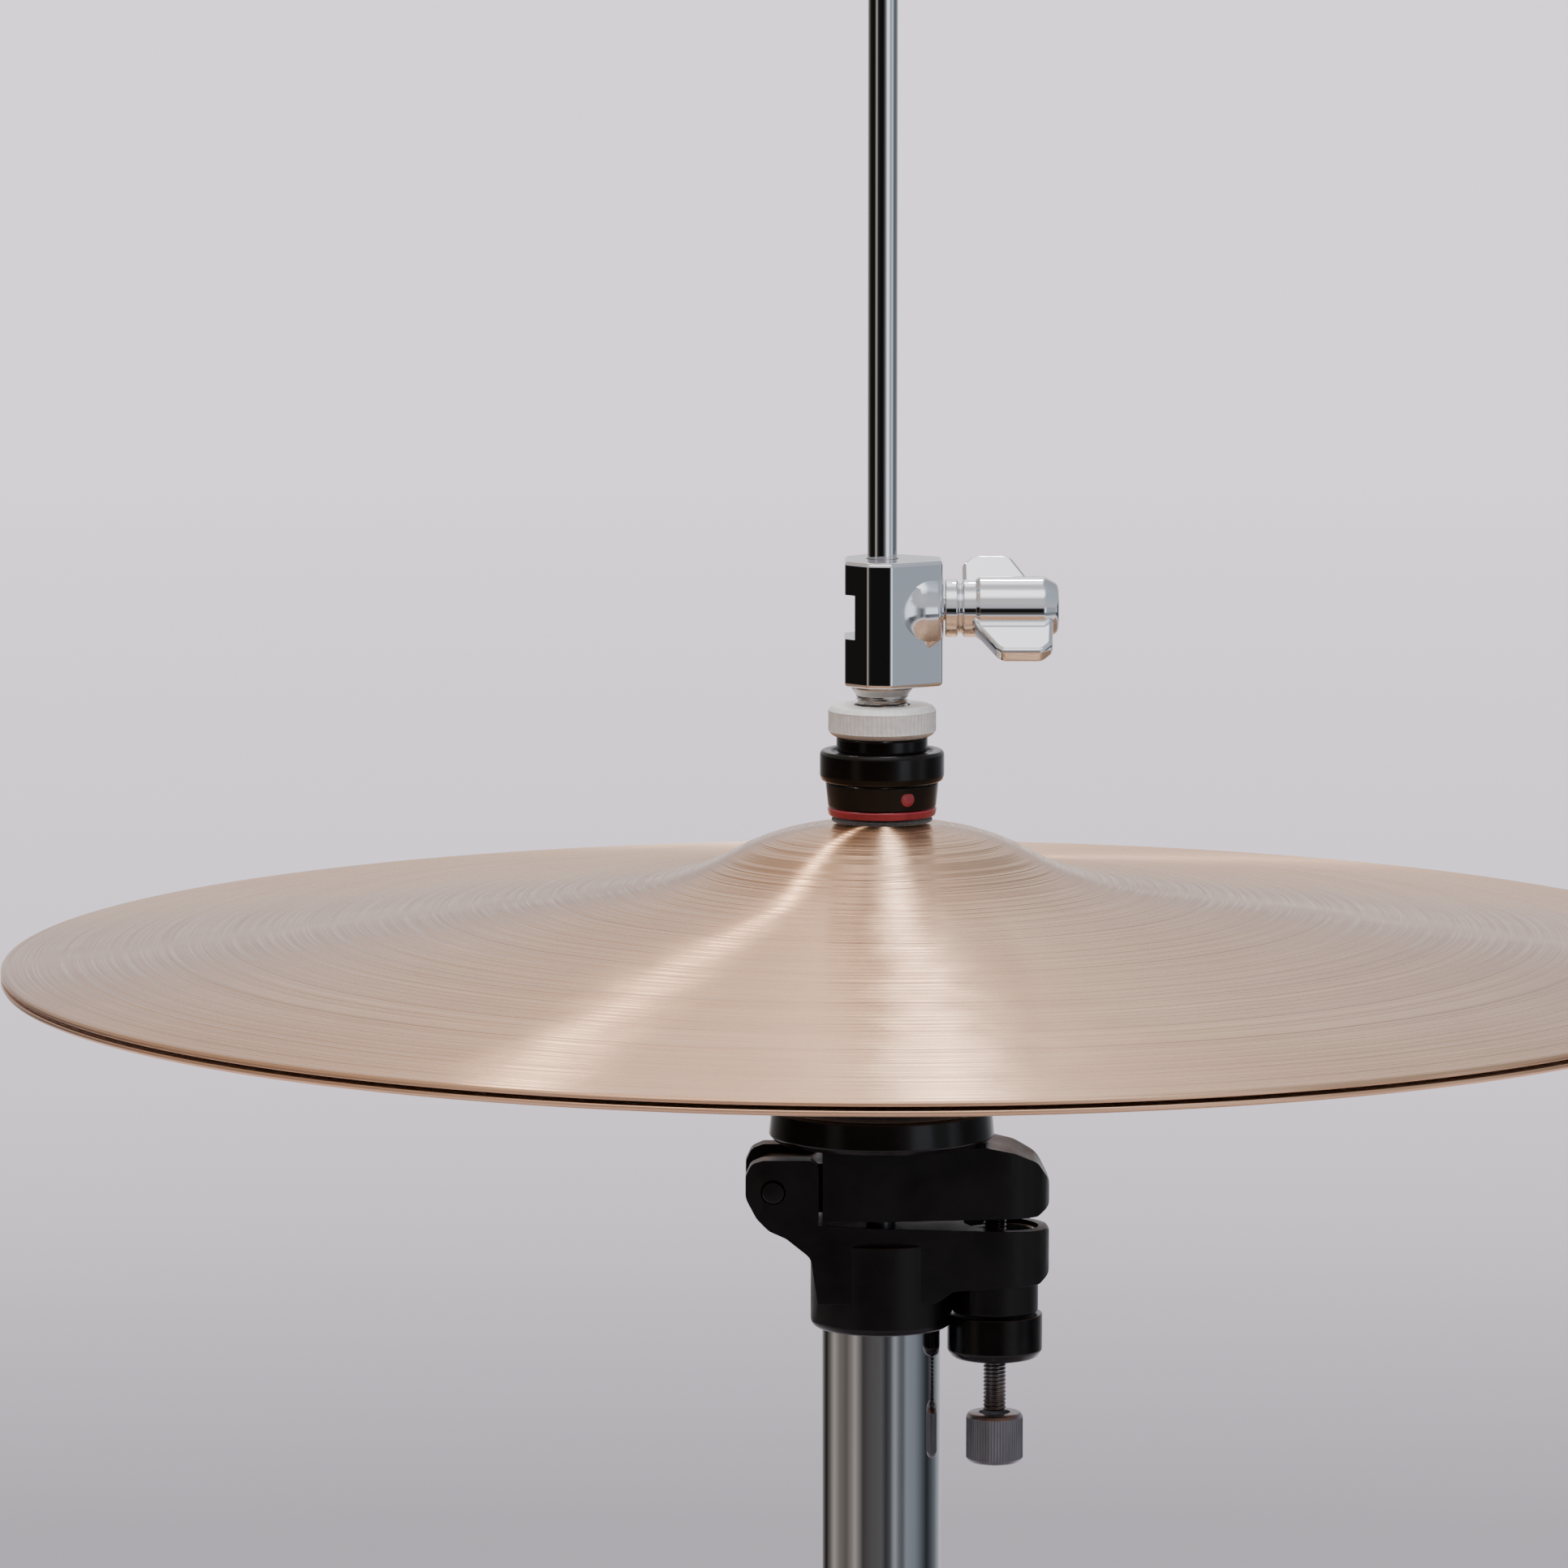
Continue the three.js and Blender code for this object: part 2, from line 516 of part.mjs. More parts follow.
// ---- Pedal --------------------------------------------------------------------------------------------
function heelPlate() {
  const side = outline([[-338, 0], [-338, 5], [-330, 9], [-290, 22], [-276, 26], [-252, 26], [-252, 0]]);
  const cheek = outline([[-276, 22], [-271, 38], [-266, 43], [-258, 43], [-253, 38], [-252, 22]]);
  const rod = RADIUS_ROD.r + GAP;
  const top = RADIUS_ROD.z + rod;
  let plateSolid = profileYZ(side, -40, 40);
  plateSolid = plateSolid.add(profileYZ(cheek, -40, -30)).add(profileYZ(cheek, 30, 40));
  [-RADIUS_ROD.x, RADIUS_ROD.x].forEach((x) => {
    const groove = box([x - rod, x + rod], [RADIUS_ROD.heelY - rod, -240], [-1, top]);
    plateSolid = plateSolid.subtract(groove);
  });
  const cross = box([-RADIUS_ROD.x, RADIUS_ROD.x],
    [RADIUS_ROD.heelY - rod, RADIUS_ROD.heelY + rod], [-1, top]);
  const knuckleRoom = alongX(8, -29.7, 29.7, HEEL_PIN.y, HEEL_PIN.z);
  const pinHole = alongX(3.3, -50, 50, HEEL_PIN.y, HEEL_PIN.z, SMALL);
  const holed = plateSolid.subtract(cross).subtract(knuckleRoom).subtract(pinHole);
  return named('heel_plate', holed, satinSteel());
}

function heelPin() {
  return named('heel_pin', alongX(3, -41, 41, HEEL_PIN.y, HEEL_PIN.z, SMALL), darkSteel());
}

// The footboard and the chain anchor are drawn from the heel pin, along +Y, and sloped afterwards.
function footboard() {
  const side = new THREE.Shape();
  side.moveTo(-28, 0);
  side.lineTo(-28, 16);
  const left = [[-38, 80], [-42, 150], [-37, 220], [-28, 268]];
  side.splineThru(left.map((p) => new THREE.Vector2(...p)));
  side.lineTo(-20, 286);
  side.lineTo(20, 286);
  side.lineTo(28, 268);
  const right = [[37, 220], [42, 150], [38, 80], [28, 16]];
  side.splineThru(right.map((p) => new THREE.Vector2(...p)));
  side.lineTo(28, 0);
  const board = plate(side, -6, -1);
  const knuckle = alongX(7, -29, 29, 0, 0);
  const pinHole = alongX(3.3, -40, 40, 0, 0, SMALL);
  const toeSlot = box([-5.6, 5.6], [BOARD_REACH - 8, 300], [-10, 5]);
  return named('footboard', board.add(knuckle).subtract(pinHole).subtract(toeSlot), satinSteel());
}

function chainAnchor() {
  const block = box([-11, 11], [BOARD_REACH - 14, BOARD_REACH + 9], [-0.7, 6.5]);
  const slot = box([-5.6, 5.6], [BOARD_REACH - 8, 300], [-2, 10]);
  return named('chain_anchor', block.subtract(slot), darkSteel());
}

function chain() {
  const pitch = CHAIN_LENGTH / (CHAIN_LINKS - 1);
  let links = alongX(2, -11, 11, 0, 0, SMALL);
  for (let i = 0; i < CHAIN_LINKS; i += 1) {
    links = links.add(alongX(2.6, -4.6, 4.6, 0, -pitch * i, 8));
    if (i > 0) {
      const wide = i % 2 ? 4.6 : 3.6;
      const room = wide - 1.2;
      const z = [-pitch * i, -pitch * (i - 1)];
      links = links.add(box([-wide, -room], [-3, 3], z)).add(box([room, wide], [-3, 3], z));
    }
  }
  return named('chain', links, darkSteel());
}

function rodClevis() {
  const block = box([-10, 10], [-6.5, 6.5], [111, 132]);
  const slot = box([-5.6, 5.6], [-8, 8], [100, 124.5]);
  const pinHole = alongX(2.4, -20, 20, 0, CHAIN_PIN_Z, SMALL);
  const rodHole = disc(ROD_R + GAP, 127, 140);
  return named('rod_clevis', block.subtract(slot).subtract(pinHole).subtract(rodHole), satinSteel());
}

// ---- Assembly --------------------------------------------------------------------------------------------
function head() {
  return groupAt(0, 0, RIM_Z,
    cymbal('top_cymbal', false), cymbal('bottom_cymbal', true),
    clutchBody(), clutchEyeBolt(), clutchWingNut(), ...clutchStack(),
    tilterBody(), seatPlate(), ...seatStack(), tilterScrew(), tilterPivotPin());
}

function pedal() {
  const board = groupAt(0, HEEL_PIN.y, HEEL_PIN.z, footboard(), chainAnchor());
  board.rotation.x = BOARD_SLOPE;
  const hangingChain = groupAt(0, 0, CHAIN_PIN_Z, chain());
  hangingChain.rotation.x = Math.asin(TOE_PIN.y / CHAIN_LENGTH);
  return groupAt(0, 0, 0, board, hangingChain, heelPlate(), heelPin(), rodClevis());
}

function frame() {
  return groupAt(0, 0, 0, floorPad(), crossbar(), upright('frame_upright_left', -1),
    upright('frame_upright_right', 1), frameYoke(), radiusRod(), springAdjuster(), returnSpring());
}

function tripod() {
  return groupAt(0, 0, 0, legBracket(), legCollar(),
    groupAt(0, -BASE_TUBE_R - 0.6, LEG_PIVOT_Z, wingBolt('leg_wing_bolt', 16)),
    ...LEG_AZIMUTHS.map((azimuth, i) => tripodLeg(azimuth, i + 1)));
}

function column() {
  const clampMiddle = (CLAMP.z0 + CLAMP.z1) / 2;
  return groupAt(0, 0, 0, ...tubes(), ...rods(), ...heightClamp(), memoryLock(),
    groupAt(CLAMP.earX, 12, clampMiddle, wingBolt('height_wing_bolt', 21.5)));
}

const hiHat = new THREE.Group();
hiHat.name = 'hi_hat';
hiHat.add(frame(), pedal(), tripod(), column(), head());
hiHat.updateMatrixWorld(true);

export default hiHat;
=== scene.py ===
"""The look of a 14 inch hi-hat on its pedal stand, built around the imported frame. Lengths are in mm until a
mesh is made; every object is in metres."""
import json
import math

import bmesh
import bpy
from mathutils import Matrix, Vector, noise


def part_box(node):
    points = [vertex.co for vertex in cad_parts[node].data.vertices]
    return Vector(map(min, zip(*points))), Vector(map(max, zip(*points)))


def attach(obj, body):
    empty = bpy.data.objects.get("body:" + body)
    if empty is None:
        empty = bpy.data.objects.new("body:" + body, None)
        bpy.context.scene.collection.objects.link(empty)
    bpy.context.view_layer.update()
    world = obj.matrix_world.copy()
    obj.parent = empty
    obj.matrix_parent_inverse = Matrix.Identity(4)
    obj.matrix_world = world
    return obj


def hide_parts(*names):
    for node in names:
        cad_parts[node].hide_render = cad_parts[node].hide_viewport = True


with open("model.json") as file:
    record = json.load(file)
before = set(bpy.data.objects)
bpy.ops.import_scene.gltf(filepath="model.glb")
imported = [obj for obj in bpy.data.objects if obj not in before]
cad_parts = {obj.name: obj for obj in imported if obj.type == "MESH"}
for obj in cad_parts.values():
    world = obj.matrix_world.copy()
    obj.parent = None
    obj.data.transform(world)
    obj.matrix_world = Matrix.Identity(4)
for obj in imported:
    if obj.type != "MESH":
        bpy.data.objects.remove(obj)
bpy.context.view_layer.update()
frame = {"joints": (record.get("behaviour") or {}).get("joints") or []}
MM = 0.001
FELT_SEED = 7
noise.seed_set(FELT_SEED)  # noise_vector would take its offsets from the clock


# ---- Places taken from the frame ----
def mm_box(node):
    low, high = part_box(node)
    return low / MM, high / MM


def heights(node):
    low, high = mm_box(node)
    return low.z, high.z


def middle(node):
    low, high = mm_box(node)
    return (low + high) / 2


def radius_of(node):
    low, high = mm_box(node)
    return (high.x - low.x) / 2


# Sizes that the boxes don't give
GAP = 0.3  # between pieces that fit into each other
CYMBAL_THICK = 1.0
PIVOT_BORE_R = 2.5
HINGE_BORE_R = 3.3
ROD_WAY_R = 4.6
CLAMP_BOLT_BORE_R = 3.2
FOOT_REACH = 300  # of the feet's centres from the stand's axis, and their height
FOOT_PIN_Z = 12
PEDAL_ROD_X = 30  # half the distance between the radius rod's two arms
PEDAL_ROD_R = 3.5
TOE_PIN_Y = 2.4  # where the chain meets the footboard
TOE_PIN_Z = 73
CHAIN_PITCH = 11.25
CHAIN_LINKS = 4
CREASE_ANGLE = 38  # degrees; a sharper edge than this is drawn as an edge

# Places and sizes that they do give
RIM_Z = heights("top_cymbal")[0] + CYMBAL_THICK
CYMBAL_R = radius_of("top_cymbal")
RIM_GAP = heights("top_cymbal")[0] - heights("bottom_cymbal")[1]
ROD_R = radius_of("pull_rod")
BORE_R = ROD_R + GAP
TUBE_R = radius_of("upper_tube")
BASE_R = radius_of("base_tube")
SCREW_X = middle("tilter_screw").x
WING_Z = middle("clutch_eye_bolt").z
PIVOT = middle("tilter_pivot_pin")
PEDAL_ROD_Z = middle("radius_rod").z
HINGES = {joint["name"]: Vector(joint["pos_m"]) / MM for joint in frame["joints"] if "pos_m" in joint}


def placed(name, data):
    """A new object in the scene."""
    obj = bpy.data.objects.new(name, data)
    bpy.context.scene.collection.objects.link(obj)
    return obj


# ---- Camera ----
def add_camera():
    camera = placed("camera", bpy.data.cameras.new("camera"))
    camera.data.sensor_width = 36
    camera.data.lens = 206.3
    camera.data.clip_end = 200
    camera.location = (-0.0198, -1.8, RIM_Z * MM + 0.268)
    camera.rotation_euler = (math.radians(90 - 7.36), 0, 0)
    bpy.context.scene.camera = camera


add_camera()


# ---- Mesh making ----
ON_AXIS = 1e-6
STRAIGHT = 0.02  # radians; a corner that turns less than this stays as it is
TURNS = {
    "Z": Matrix.Identity(4),
    "X": Matrix.Rotation(math.pi / 2, 4, "Y"),
    "Y": Matrix.Rotation(-math.pi / 2, 4, "X"),
}
PLANES = {
    "XY": Matrix.Identity(4),
    "XZ": Matrix(((1, 0, 0, 0), (0, 0, -1, 0), (0, 1, 0, 0), (0, 0, 0, 1))),
    "YZ": Matrix(((0, 0, 1, 0), (1, 0, 0, 0), (0, 1, 0, 0), (0, 0, 0, 1))),
}


def from_bmesh(bm):
    bmesh.ops.recalc_face_normals(bm, faces=bm.faces)
    mesh = bpy.data.meshes.new("work")
    bm.to_mesh(mesh)
    bm.free()
    return placed("work", mesh)


def moved(obj, x=0.0, y=0.0, z=0.0, turn=None):
    """Moves and turns the mesh itself; the object stays at the origin."""
    matrix = Matrix.Translation(Vector((x, y, z)) * MM)
    obj.data.transform(matrix @ turn if turn else matrix)
    return obj


def turned(profile, sides=96, shape=None, axis="Z"):
    """A closed loop, or a line from axis to axis, of (radius, height) points turned about an axis."""
    bm = bmesh.new()
    rings = []
    for r, z in profile:
        if r < ON_AXIS:
            rings.append([bm.verts.new((0, 0, z * MM))])
            continue
        ring = []
        for k in range(sides):
            a = 2 * math.pi * k / sides
            q = shape(r, a, z) if shape else r
            ring.append(bm.verts.new((q * math.cos(a) * MM, q * math.sin(a) * MM, z * MM)))
        rings.append(ring)
    after = rings[1:] + ([rings[0]] if profile[0][0] > ON_AXIS else [])
    for low, high in zip(rings, after):
        for k in range(sides):
            m = k + 1
            corners = (low[k % len(low)], low[m % len(low)], high[m % len(high)], high[k % len(high)])
            face = list(dict.fromkeys(corners))
            if len(face) > 2:
                bm.faces.new(face)
    return moved(from_bmesh(bm), turn=TURNS[axis])


def rounded(points, radius, steps=4, closed=True):
    """The line with an arc in place of each corner; a point may carry its own radius as a third value."""
    out = []
    count = len(points)
    for i, point in enumerate(points):
        own = point[2] if len(point) > 2 else radius
        here = Vector(point[:2])
        if own <= 0 or (not closed and i in (0, count - 1)):
            out.append(tuple(here))
            continue
        before = Vector(points[i - 1][:2]) - here
        after = Vector(points[(i + 1) % count][:2]) - here
        angle = before.angle(after)
        if angle > math.pi - STRAIGHT:
            out.append(tuple(here))
            continue
        reach = min(own / math.tan(angle / 2), 0.48 * before.length, 0.48 * after.length)
        arc = reach * math.tan(angle / 2)
        inwards = (before.normalized() + after.normalized()).normalized()
        centre = here + inwards * (arc / math.sin(angle / 2))
        first = here + before.normalized() * reach - centre
        last = here + after.normalized() * reach - centre
        sweep = first.angle_signed(last)
        for k in range(steps + 1):
            turned_arm = first.copy()
            turned_arm.rotate(Matrix.Rotation(-sweep * k / steps, 2))
            out.append(tuple(centre + turned_arm))
    return out


def lathe(profile, radius=0.4, sides=96, shape=None, axis="Z"):
    """A turned piece with every corner of its profile rounded."""
    closed = profile[0][0] > ON_AXIS
    return turned(rounded(profile, radius, closed=closed), sides, shape, axis)


def ring_profile(bore, r, z0, z1):
    return [(bore, z0), (r, z0), (r, z1), (bore, z1)]


def rod_profile(r, z0, z1):
    return [(0, z0), (r, z0), (r, z1), (0, z1)]


def extruded(outline, a, b, plane="XY"):
    """A flat outline, extruded between two places on the plane's third axis."""
    if plane == "XZ":
        a, b = -b, -a
    bm = bmesh.new()
    low = [bm.verts.new((x * MM, y * MM, a * MM)) for x, y in outline]
    high = [bm.verts.new((x * MM, y * MM, b * MM)) for x, y in outline]
    bm.faces.new(low)
    bm.faces.new(high)
    for k in range(len(low)):
        m = (k + 1) % len(low)
        bm.faces.new((low[k], low[m], high[m], high[k]))
    return moved(from_bmesh(bm), turn=PLANES[plane])


def block(x, y, z, corner=0.0):
    outline = [(x[0], y[0]), (x[1], y[0]), (x[1], y[1]), (x[0], y[1])]
    return extruded(rounded(outline, corner) if corner else outline, *z)


def node_block(node, corner):
    """A block that fills the node's box."""
    low, high = mm_box(node)
    return block((low.x, high.x), (low.y, high.y), (low.z, high.z), corner)


def pin(r, a, b, axis="Z", sides=64, at=(0, 0, 0)):
    return moved(turned(rod_profile(r, a, b), sides, axis=axis), *at)


def slot_outline(x0, x1, half, steps=12):
    """A strip with round ends."""
    turn = [math.pi * k / steps for k in range(steps + 1)]
    right = [(x1 + half * math.sin(t), -half * math.cos(t)) for t in turn]
    left = [(x0 - half * math.sin(t), half * math.cos(t)) for t in turn]
    return right + left


def settled(obj):
    """The object with its modifiers worked into its mesh."""
    graph = bpy.context.evaluated_depsgraph_get()
    mesh = bpy.data.meshes.new_from_object(obj.evaluated_get(graph))
    obj.modifiers.clear()
    obj.data = mesh
    return obj


def combined(how, obj, tools):
    for tool in tools:
        modifier = obj.modifiers.new("shape", "BOOLEAN")
        modifier.operation = how
        modifier.solver = "EXACT"
        modifier.object = tool
    settled(obj)
    for tool in tools:
        bpy.data.objects.remove(tool)
    return obj


def cut(obj, *tools):
    return combined("DIFFERENCE", obj, tools)


def joined(obj, *tools):
    return combined("UNION", obj, tools)


def common(obj, tool):
    return combined("INTERSECT", obj, (tool,))


def softened(obj, width, segments=3, angle=28):
    """Rounds the sharp edges."""
    modifier = obj.modifiers.new("soft", "BEVEL")
    modifier.width = width * MM
    modifier.segments = segments
    modifier.limit_method = "ANGLE"
    modifier.angle_limit = math.radians(angle)
    modifier.use_clamp_overlap = True
    return settled(obj)


def piece(obj, name, body, look, *nodes):
    """Names a finished piece, gives it its material, and ties it to the frame."""
    obj.name = name
    obj.data.name = name
    obj.data.materials.clear()
    obj.data.materials.append(look)
    obj.data.shade_smooth()
    obj.data.set_sharp_from_angle(angle=math.radians(CREASE_ANGLE))
    normals = obj.modifiers.new("normals", "WEIGHTED_NORMAL")
    normals.keep_sharp = True
    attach(obj, body)
    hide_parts(*nodes)
    return obj


# ---- Materials ----
class Nodes:
    """Short ways of adding nodes to self.tree."""

    def node(self, kind, **values):
        node = self.tree.nodes.new(kind)
        for key, value in values.items():
            setattr(node, key, value)
        return node

    def link(self, a, b):
        self.tree.links.new(a, b)

    def math(self, operation, a, b=None):
        node = self.node("ShaderNodeMath", operation=operation)
        for socket, value in zip(node.inputs, (a, b)):
            if isinstance(value, (int, float)):
                socket.default_value = value
            elif value is not None:
                self.link(value, socket)
        return node.outputs[0]

    def ranged(self, value, low, high, new_low=0.0, new_high=1.0):
        node = self.node("ShaderNodeMapRange")
        self.link(value, node.inputs["Value"])
        node.inputs["From Min"].default_value = low
        node.inputs["From Max"].default_value = high
        node.inputs["To Min"].default_value = new_low
        node.inputs["To Max"].default_value = new_high
        return node.outputs[0]

    def ramp(self, value, stops):
        """The colour at this value between (position, colour) stops."""
        node = self.node("ShaderNodeValToRGB")
        elements = node.color_ramp.elements
        for n, (position, color) in enumerate(stops):
            if n > 1:
                elements.new(position)
            elements[n].position = position
            elements[n].color = (*color, 1)
        self.link(value, node.inputs["Fac"])
        return node.outputs["Color"]


class Look(Nodes):
    """A Principled material and short ways of adding procedural detail to it."""

    def __init__(self, slot, color, roughness, metallic=0.0, **sockets):
        self.material = bpy.data.materials.new(slot + "_look")
        self.material["slot"] = slot
        self.material.use_nodes = True
        self.tree = self.material.node_tree
        self.bsdf = self.tree.nodes["Principled BSDF"]
        self.color = (*color, 1)
        self.bsdf.inputs["Base Color"].default_value = self.color
        self.bsdf.inputs["Roughness"].default_value = roughness
        self.bsdf.inputs["Metallic"].default_value = metallic
        for socket, value in sockets.items():
            self.bsdf.inputs[socket.replace("_", " ")].default_value = value
        self.place = self.node("ShaderNodeTexCoord").outputs["Object"]

    def noise(self, scale, detail=3.0, stretch=(1, 1, 1)):
        """Noise in the piece's own frame; scale is in features per metre."""
        mapping = self.node("ShaderNodeMapping")
        mapping.inputs["Scale"].default_value = stretch
        self.link(self.place, mapping.inputs["Vector"])
        node = self.node("ShaderNodeTexNoise")
        node.inputs["Scale"].default_value = scale
        node.inputs["Detail"].default_value = detail
        self.link(mapping.outputs[0], node.inputs["Vector"])
        return node.outputs["Fac"]

    def along_radius(self, per_mm, detail=2.0):
        """Noise that depends only on the distance from the Z axis, with per_mm features in each mm."""
        parts = self.node("ShaderNodeSeparateXYZ")
        self.link(self.place, parts.inputs[0])
        square = self.math("ADD", self.math("POWER", parts.outputs["X"], 2.0),
                           self.math("POWER", parts.outputs["Y"], 2.0))
        distance = self.math("MULTIPLY", self.math("SQRT", square), 1000.0 * per_mm)
        node = self.node("ShaderNodeTexNoise", noise_dimensions="1D")
        node.inputs["Scale"].default_value = 1.0
        node.inputs["Detail"].default_value = detail
        self.link(distance, node.inputs["W"])
        return node.outputs["Fac"]

    def rough(self, value, low, high):
        self.link(self.ranged(value, 0.3, 0.7, low, high), self.bsdf.inputs["Roughness"])
        return self

    def tint(self, value, other, low=0.35, high=0.65):
        """Mixes towards another colour where the value is high."""
        mix = self.node("ShaderNodeMix", data_type="RGBA")
        mix.inputs["A"].default_value = self.color
        current = self.bsdf.inputs["Base Color"].links
        if current:
            self.link(current[0].from_socket, mix.inputs["A"])
        mix.inputs["B"].default_value = (*other, 1)
        self.link(self.ranged(value, low, high), mix.inputs["Factor"])
        self.link(mix.outputs["Result"], self.bsdf.inputs["Base Color"])
        return self

    def bump(self, value, strength, distance):
        """Adds a bump; distance is in mm."""
        node = self.node("ShaderNodeBump")
        node.inputs["Strength"].default_value = strength
        node.inputs["Distance"].default_value = distance * MM
        current = self.bsdf.inputs["Normal"].links
        if current:
            self.link(current[0].from_socket, node.inputs["Normal"])
        self.link(value, node.inputs["Height"])
        self.link(node.outputs[0], self.bsdf.inputs["Normal"])
        return self


def chrome():
    look = Look("chrome", (0.70, 0.71, 0.73), 0.03, 1.0)
    look.rough(look.noise(90, 4), 0.02, 0.05)
    return look.bump(look.noise(35, 2), 0.03, 0.3).material


def satin_steel():
    look = Look("satin_steel", (0.60, 0.595, 0.59), 0.32, 1.0)
    look.tint(look.noise(500, 3, (1, 1, 6)), (0.5, 0.495, 0.49))
    look.rough(look.noise(300, 3), 0.26, 0.4)
    return look.bump(look.noise(1800, 2, (1, 1, 8)), 0.12, 0.06).material


def polished_steel():
    look = Look("satin_steel", (0.5, 0.49, 0.48), 0.12, 1.0)
    return look.rough(look.noise(300, 3), 0.09, 0.18).material


def frosted_steel():
    look = Look("satin_steel", (0.88, 0.87, 0.86), 0.6, 0.6)
    look.tint(look.noise(700, 3), (0.78, 0.77, 0.76))
    return look.bump(look.noise(2200, 2), 0.15, 0.05).material


def blued_steel():
    look = Look("satin_steel", (0.16, 0.155, 0.165), 0.36, 1.0)
    look.tint(look.noise(400, 3, (1, 1, 0.1)), (0.22, 0.215, 0.225))
    return look.rough(look.noise(300, 3), 0.3, 0.44).material


def cast_aluminium():
    look = Look("cast_aluminium", (0.55, 0.55, 0.56), 0.42, 1.0)
    look.tint(look.noise(60, 4), (0.45, 0.45, 0.46))
    look.rough(look.noise(220, 4), 0.34, 0.52)
    return look.bump(look.noise(1500, 3), 0.3, 0.12).material


def dark_steel():
    look = Look("dark_steel", (0.12, 0.12, 0.125), 0.34, 1.0)
    look.tint(look.noise(150, 4), (0.2, 0.19, 0.18))
    look.rough(look.noise(400, 3), 0.26, 0.46)
    return look.bump(look.noise(2500, 2), 0.15, 0.05).material


def bronze():
    look = Look("bronze", (0.74, 0.455, 0.275), 0.26, 1.0, Anisotropic=1.0, Anisotropic_Rotation=0.25)
    tangent = look.node("ShaderNodeTangent", direction_type="RADIAL", axis="Z")
    look.link(tangent.outputs[0], look.bsdf.inputs["Tangent"])
    look.tint(look.along_radius(0.12, 3), (0.68, 0.41, 0.25))
    look.tint(look.noise(14, 4), (0.76, 0.49, 0.32), 0.45, 0.75)
    look.rough(look.along_radius(0.5, 3), 0.23, 0.30)
    look.bump(look.noise(70, 2), 0.12, 0.5)
    look.bump(look.along_radius(0.55, 2), 1.0, 0.6)
    return look.bump(look.along_radius(2.4, 2), 1.0, 0.06).material


def black_paint():
    look = Look("black_paint", (0.0032, 0.0027, 0.0023), 0.36, Specular_IOR_Level=0.2)
    look.rough(look.noise(120, 4), 0.28, 0.42)
    return look.bump(look.noise(900, 3), 0.18, 0.12).material


def black_plastic():
    look = Look("black_plastic", (0.004, 0.003, 0.0024), 0.2, Specular_IOR_Level=0.22)
    look.rough(look.noise(200, 4), 0.12, 0.24)
    return look.bump(look.noise(500, 2), 0.06, 0.06).material


def red_plastic():
    look = Look("red_plastic", (0.27, 0.024, 0.034), 0.2, Specular_IOR_Level=0.4)
    look.tint(look.noise(260, 3), (0.21, 0.018, 0.026))
    return look.rough(look.noise(200, 4), 0.14, 0.28).material


def black_felt():
    look = Look("black_felt", (0.02, 0.019, 0.019), 0.95, Sheen_Weight=0.4, Sheen_Roughness=0.6)
    look.tint(look.noise(1500, 5), (0.05, 0.048, 0.047))
    return look.bump(look.noise(2600, 5), 0.9, 0.3).material


def nylon():
    look = Look("nylon", (0.04, 0.04, 0.042), 0.42)
    return look.bump(look.noise(700, 3), 0.12, 0.05).material


def rubber():
    look = Look("rubber", (0.018, 0.018, 0.019), 0.62)
    look.tint(look.noise(220, 5), (0.04, 0.039, 0.037), 0.5, 0.8)
    return look.bump(look.noise(1300, 4), 0.35, 0.1).material


CHROME = chrome()
STEEL = satin_steel()
POLISHED = polished_steel()
FROSTED = frosted_steel()
BLUED = blued_steel()
ALUMINIUM = cast_aluminium()
DARK_STEEL = dark_steel()
BRONZE = bronze()
PAINT = black_paint()
PLASTIC = black_plastic()
RED = red_plastic()
FELT = black_felt()
NYLON = nylon()
RUBBER = rubber()


# ---- Surface shapes for turned pieces ----
def thread(pitch, depth, z0, z1, inside=0.0):
    """The shape of a screw thread, cut into what is further out than inside."""
    def shape(r, a, z):
        if r <= inside or not z0 < z < z1:
            return r
        turn = (z / pitch - a / (2 * math.pi)) % 1.0
        return r - depth * abs(2 * turn - 1)
    return shape


def knurled(profile, count, depth, z0, z1, inside=0.0, finely=6):
    """A turned piece with a wavy side between two heights, drawn with several points to each ridge."""
    def shape(r, a, z):
        if r <= inside or not z0 < z < z1:
            return r
        return r - depth * (0.5 - 0.5 * math.cos(count * a))
    return turned(profile, count * finely, shape)


def threaded_side(r, z0, z1, step):
    count = max(2, round((z1 - z0) / step))
    return [(r, z0 + (z1 - z0) * k / count) for k in range(count + 1)]


# ---- Cymbals ----
BELL = [(6.2, 27.7), (12, 27.3), (20, 25.8), (27, 23.3), (33.4, 20), (40, 17.3), (50, 15)]
BOW = [(80, 11.35), (115, 7.35), (150, 3.3)]
TOP = BELL[0][1]
EDGE_Z = 0.02
LIP = 0.1


def spline(points, steps):
    """A smooth curve through the points."""
    out = []
    for i in range(len(points) - 1):
        p0 = Vector(points[max(i - 1, 0)])
        p1 = Vector(points[i])
        p2 = Vector(points[i + 1])
        p3 = Vector(points[min(i + 2, len(points) - 1)])
        for k in range(steps):
            t = k / steps
            out.append(tuple(0.5 * (2 * p1 + (p2 - p0) * t + (2 * p0 - 5 * p1 + 4 * p2 - p3) * t ** 2
                                    + (3 * p1 - p0 - 3 * p2 + p3) * t ** 3)))
    out.append(tuple(points[-1]))
    return out


def dent(x, y, r):
    """Height of the hammer marks, which fade out at the rim and at the bell's top."""
    place = Vector((x, y, 0))
    height = noise.noise(place / 9.0) * 0.06 + noise.noise(place / 26.0) * 0.10
    return height * min(1.0, max(0.0, (r - 20) / 30)) * min(1.0, max(0.0, (CYMBAL_R - r) / 12))


